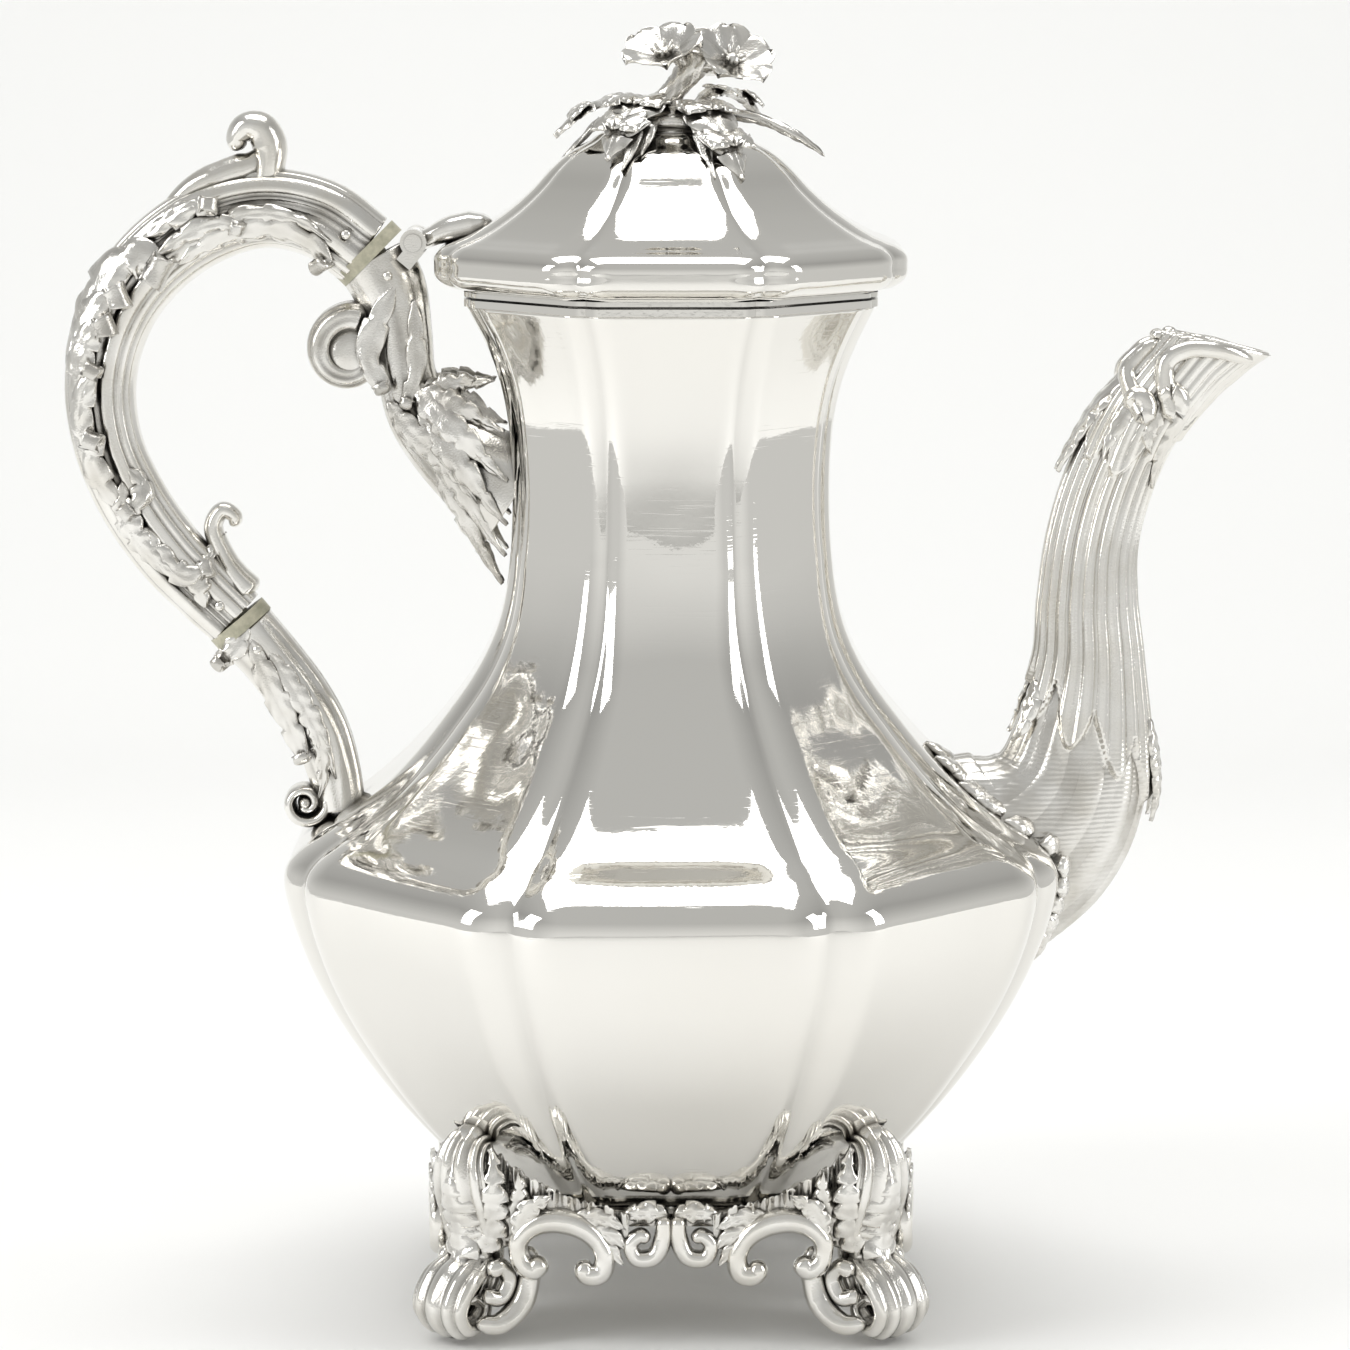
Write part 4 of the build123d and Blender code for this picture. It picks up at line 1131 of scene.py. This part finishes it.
turn = np.linspace(0, 2 * np.pi, 40, endpoint=False)[None, :]
height = 0.5 - 0.5 * np.cos(turn)
z = low_edge + (high_edge - low_edge) * height
flare = np.maximum(panel_x(z) - WING_OUT + 0.4, 0) * (0.4 + 0.6 * height**2)
skirt_out = WING_OUT + 0.2 + flare * (1 - step(across - 12, 12))
ruffle = 0.9 * np.sin(across * 1.7) * height**2 + 0.5 * np.sin(across * 3.9 + 2) * height**3
x = skirt_out + 0.6 + 1.2 * height**3 + ruffle - 4.5 * step(across - 24, 12) + 0.75 * np.sin(turn)
wing_skins.append(
    capped_skin(
        np.stack(np.broadcast_arrays(x, across, z), -1), 0.35 - 0.3 * np.sin(across * 1.7) * height,
    ),
)
wing_skins += [
    leaf(
        on_wing([(15.6, 20.4, 1.6), (12.0, 18.6, 2.0), (9.2, 15.6, 1.8)]), OUT, 1.9, 0.8, lobes=2,
        ragged=0.15,
    ),
    leaf(
        on_wing([(16.4, 22.8, 1.8), (11.8, 21.6, 2.2), (8.0, 18.4, 1.6)]), OUT, 1.8, 0.8, lobes=2,
        ragged=0.15,
    ),
    leaf(
        on_wing([(19.0, 25.4, 1.6), (13.4, 25.0, 2.2), (8.6, 22.6, 1.6)]), OUT, 2.0, 0.8, lobes=3,
        ragged=0.25,
    ),
    leaf(
        on_wing([(30.0, 21.0, 2.4), (27.6, 26.6, 2.8), (23.0, 30.0, 3.6)]), OUT, 2.6, 0.8, lobes=4,
        ragged=0.35,
    ),
]
SWAP = np.array([[0, 1, 0], [1, 0, 0], [0, 0, 1.0]])
foot_skins = [moved(skin, turned(45)) for skin in leg_skins] + wing_skins
foot_skins += [moved(skin, SWAP) for skin in wing_skins]
FEET = ("foot_back_right", "foot_back_left", "foot_front_left", "foot_front_right")
for k, node in enumerate(FEET):
    placed = [moved(skin, turned(90 * k)) for skin in foot_skins]
    make_piece(node + "_casting", placed, chased, "pot", "cast_silver", node)

# ================================================================ finial
# A cast spray of flowers on a bent stem, with serrated leaves and a broken twig, bolted through the
# crown of the lid.


def bark(u, angle):
    """Knots and ridges of a woody stem."""
    return 0.22 * np.sin(7 * angle + 9 * u) * np.sin(23 * u + 2 * angle) - 0.1


STEM = [
    (-3.4, 0.0, CROWN_Z + 3.0), (-0.8, 0.0, CROWN_Z + 6.2), (1.8, 0.0, CROWN_Z + 9.2),
    (4.2, 0.4, CROWN_Z + 12.6), (5.6, 1.0, CROWN_Z + 15.6),
]
stem_skins = [
    rod(STEM, [3.0, 2.6, 2.4, 3.0, 3.0], [2.9, 2.5, 2.4, 3.0, 3.0], count=70, columns=30, relief=bark),
    rod(
        [(3.4, 0, CROWN_Z + 11.4), (1.6, -1.6, CROWN_Z + 14.2), (0.2, -2.4, CROWN_Z + 16.2)], 1.4,
        1.4, relief=bark,
    ),
    rod(
        [(4.4, 0, CROWN_Z + 12.0), (8.2, 0.0, CROWN_Z + 13.0), (11.0, -0.2, CROWN_Z + 14.4)], 1.4,
        1.4, relief=bark,
    ),
    rod(
        [(4.4, 1, CROWN_Z + 12.0), (5.4, 3.6, CROWN_Z + 12.2), (5.8, 5.8, CROWN_Z + 13.0)], 1.4,
        1.4, relief=bark,
    ),
]
make_piece("finial_stem_casting", stem_skins, chased, "lid", "cast_silver", "finial_stem")

FLOWER_R, PETALS, STAMENS = 8.2, 5, 7


def flower_skins(place, facing):
    """Broad petals round a small button with stamens, on a flower that faces along facing."""
    facing = unit(np.array(facing, float))
    side = unit(np.cross(UP, facing))
    basis = np.stack([side, np.cross(facing, side), facing], 1)
    skins = []
    for k in range(PETALS):
        spine = [(0.8, 0, 0.2), (3.0, 0, 0.9), (5.4, 0, 2.0), (7.4, 0, 2.6), (FLOWER_R, 0, 2.2)]
        path = smooth_line(spine, 34)
        u = np.linspace(0, 1, 34)[:, None]
        turn = np.linspace(0, 2 * np.pi, 26, endpoint=False)[None, :]
        over, side_way = np.sin(turn), np.cos(turn)
        half = 4.5 * np.clip(np.sin(np.pi * np.clip(u, 0, 0.985) ** 1.25), 0.02, 1) ** 0.55 + 0.3 * (1 - u)
        veins = 0.10 * np.cos(9 * side_way) * (over > 0) * np.sin(np.pi * u)
        lift = 0.36 * over + 1.0 * side_way**2 * u + veins + 0.25 * np.sin(5 * side_way + k) * u**2
        grid = np.stack(np.broadcast_arrays(path[:, :1], half * side_way, path[:, 2:] + lift), -1)
        petal = capped_skin(grid, 0.7 * (1 - u) ** 2 + 0.25 * (veins < -0.03))
        skins.append(moved(petal, turned(360 / PETALS * k + 8)))
    skins.append(rod([(0, 0, -0.6), (0, 0, 2.4)], 1.5, 1.5, side=(1, 0, 0), count=24, ends=0.4))
    for k in range(STAMENS):
        a = 2 * math.pi * k / STAMENS
        tip = (2.5 * math.cos(a), 2.5 * math.sin(a), 3.0)
        skins.append(
            rod(
                [(0.8 * math.cos(a), 0.8 * math.sin(a), 0.8), tip], 0.42, 0.42, side=(0, 0, 1),
                count=12, columns=10, ends=0.3,
            ),
        )
    return [moved(skin, basis, place) for skin in skins]


FLOWERS = {
    "finial_flower_left": ((-1.2, -2.6, CROWN_Z + 14.2), (-0.20, -0.45, 0.87)),
    "finial_flower_right": ((11.8, -0.8, CROWN_Z + 13.0), (0.30, -0.60, 0.74)),
    "finial_flower_back": ((6.2, 7.6, CROWN_Z + 12.4), (0.10, 0.60, 0.79)),
}
for node, (place, facing) in FLOWERS.items():
    make_piece(node + "_casting", flower_skins(place, facing), chased, "lid", "cast_silver", node)

LEAVES = {  # turn about the axis, then the spine as (distance out, height over the crown), half width
    "finial_leaf_left": (184, [(3, 5.0), (10, 6.4), (17, 4.2), (23.2, -0.8)], 5.6),
    "finial_leaf_front_left": (238, [(3, 5.6), (10, 6.6), (17, 2.6), (24.0, -4.6)], 6.6),
    "finial_leaf_front_right": (303, [(4, 5.2), (11, 5.4), (19, -0.6), (26.2, -8.4)], 6.4),
    "finial_leaf_right": (20, [(4, 4.4), (9, 8.0), (15, 6.6), (19.6, 2.0)], 5.4),
    "finial_leaf_back": (112, [(3, 4.8), (10, 5.6), (17, 1.6), (23, -4.2)], 6.2),
}
GROOVE_LEAVES = [
    (247, 24.6, -6.8), (254, 21.0, -3.8), (290, 25.4, -8.2), (70, 24.0, -6.4), (160, 23.0, -5.6),
]


def vine_leaf(spine, half):
    """A main lobe with two smaller ones on each side, all with toothed edges."""
    points = np.array([(r, 0.0, CROWN_Z + h) for r, h in spine])
    way = np.array([(0.1, 0, 1), (0.25, 0, 1), (0.6, 0, 1), (0.7, 0, 1)])
    lobes = [leaf(points, way, half * 0.95, 0.6, lobes=5, cup=-0.9, ragged=0.42, count=90, columns=34)]
    for s in (-1, 1):
        for start, reach, drop in ((1, 0.95, -1.4), (2, 0.8, -2.4)):
            side = points[start] + half * reach * np.array(
                [(0, 0, 0.02), (0.35, 0.5 * s, 0.03), (0.7, 1.0 * s, drop / half)],
            )
            lobes.append(leaf(side, way[start], half * 0.56, 0.5, lobes=3, cup=-0.4, ragged=0.42, count=50))
    return lobes


for node, (turn_by, spine, half) in LEAVES.items():
    skins = [moved(skin, turned(turn_by)) for skin in vine_leaf(spine, half)]
    make_piece(node + "_casting", skins, chased, "lid", "cast_silver", node)

TWIG = [
    (6.0, 0, CROWN_Z + 3.4), (16.0, -1.6, CROWN_Z + 2.6), (24.0, -2.6, CROWN_Z - 0.6),
    (28.4, -3.4, CROWN_Z - 3.4), (30.2, -3.8, CROWN_Z - 5.0),
]
twig_skins = [
    rod(
        TWIG, [1.3, 1.3, 1.1, 1.0, 0.3], [1.3, 1.3, 1.1, 1.0, 0.3], count=70, columns=20,
        relief=bark, ends=0.05,
    ),
]
RING = [
    (11 * math.cos(a), 9.6 * math.sin(a), CROWN_Z + 1.6 + 0.5 * math.sin(3 * a))
    for a in np.linspace(-2.6, 0.9, 9)
]
twig_skins.append(rod(RING, 1.5, 1.5, side=UP, count=80, columns=18, relief=bark))
for turn_by, reach, drop in GROOVE_LEAVES:
    blade = in_plane(
        [
            (9.0, CROWN_Z + 3.2), (15.0, CROWN_Z + 1.8), (reach - 4, CROWN_Z + drop + 3.6),
            (reach, CROWN_Z + drop),
        ],
    )
    skin = leaf(blade, (0.6, 0, 1), 1.7, 0.5, lobes=2, cup=-0.5, ragged=0.2)
    twig_skins.append(moved((*skin[:3], np.clip(skin[3] + 0.5, 0, 1)), turned(turn_by)))
make_piece("finial_twig_casting", twig_skins, chased, "lid", "cast_silver", "finial_twig")

# ================================================================ table, light and camera
# A pale sweep of paper under and behind the pot, three soft boxes and a dim grey room.


def plain(name, colour, roughness):
    """A matt studio surface with a faint cloud in it."""
    f = Finish(bpy.data.materials.new(name))
    shade = f.mix(f.noise(3, 2) * 0.3, colour, tuple(0.96 * c for c in colour))
    return f.finish(Base_Color=shade, Roughness=roughness)


def stage_sheet(name, grid, material):
    """An open sheet of the studio, from a grid of points in metres."""
    rows, columns = grid.shape[:2]
    mesh = bpy.data.meshes.new(name)
    faces = grid_faces(rows, columns, close_columns=False)
    mesh.from_pydata(grid.reshape(-1, 3).tolist(), [], faces.tolist())
    mesh.shade_smooth()
    mesh.materials.append(material)
    sheet = bpy.data.objects.new(name, mesh)
    bpy.context.scene.collection.objects.link(sheet)


sweep_line = smooth_line(
    [(-2.4, 0, 0), (0.2, 0, 0), (0.8, 0, 0.02), (1.25, 0, 0.3), (1.4, 0, 0.6), (1.4, 0, 0.75)], 80,
)
PAPER_HALF = 0.62
wide = np.linspace(-PAPER_HALF, PAPER_HALF, 12)[None, :]
paper = np.stack(np.broadcast_arrays(wide, sweep_line[:, :1], sweep_line[:, 2:]), -1)
stage_sheet("paper_sweep", paper, plain("white paper", (0.94, 0.94, 0.93), 0.7))


def soft_box(name, place, target, size, power):
    """A square area light at place that points at target."""
    light = bpy.data.lights.new(name, "AREA")
    light.shape = "RECTANGLE"
    light.size, light.size_y = size
    light.energy = power
    lamp = bpy.data.objects.new(name, light)
    direction = unit(np.array(target, float) - np.array(place, float))
    side = unit(np.cross(direction, UP + 1e-3))
    up = np.cross(side, direction)
    matrix = np.eye(4)
    matrix[:3, :3] = np.stack([side, up, -direction], 1)
    matrix[:3, 3] = place
    lamp.matrix_world = matrix.T.tolist()
    bpy.context.scene.collection.objects.link(lamp)


MIDDLE = (0.0, 0.0, 0.12)
soft_box("left_box", (-1.1, -0.45, 0.7), MIDDLE, (0.5, 1.0), 7)
soft_box("right_box", (1.2, -0.3, 0.6), MIDDLE, (0.4, 1.0), 5)
soft_box("top_box", (0.0, 0.2, 1.5), MIDDLE, (1.2, 0.8), 10)

ROOM_LIGHT = (0.97, 0.97, 0.95)
air = Finish(bpy.data.worlds.new("studio"))
height = air.node("ShaderNodeSeparateXYZ", None, air.node("ShaderNodeTexCoord", out="Generated"), out="Z")
sideways = air.node("ShaderNodeSeparateXYZ", None, air.node("ShaderNodeTexCoord", out="Generated"), out="X")
level = 0.84 - air.ramp(height, 0.0, 0.6) * 0.28 - air.ramp(sideways * sideways, 0.05, 0.6) * 0.16
glow = air.node("ShaderNodeBackground", None, ROOM_LIGHT, level)
air.node("ShaderNodeOutputWorld", None, Surface=glow)
bpy.context.scene.world = air.owner

FOCAL_TO_WIDTH, SENSOR = 4700 / 1350, 36.0
EYE, LOOK_DOWN = (0.0008, -0.930, 0.272), 9.02
camera = bpy.data.cameras.new("camera")
camera.sensor_width = SENSOR
camera.lens = FOCAL_TO_WIDTH * SENSOR
camera.clip_start, camera.clip_end = 0.05, 20.0
eye = bpy.data.objects.new("camera", camera)
eye.location = EYE
eye.rotation_euler = (math.radians(90 - LOOK_DOWN), 0, 0)
bpy.context.scene.collection.objects.link(eye)
bpy.context.scene.camera = eye
bpy.context.scene.view_settings.view_transform = "Standard"
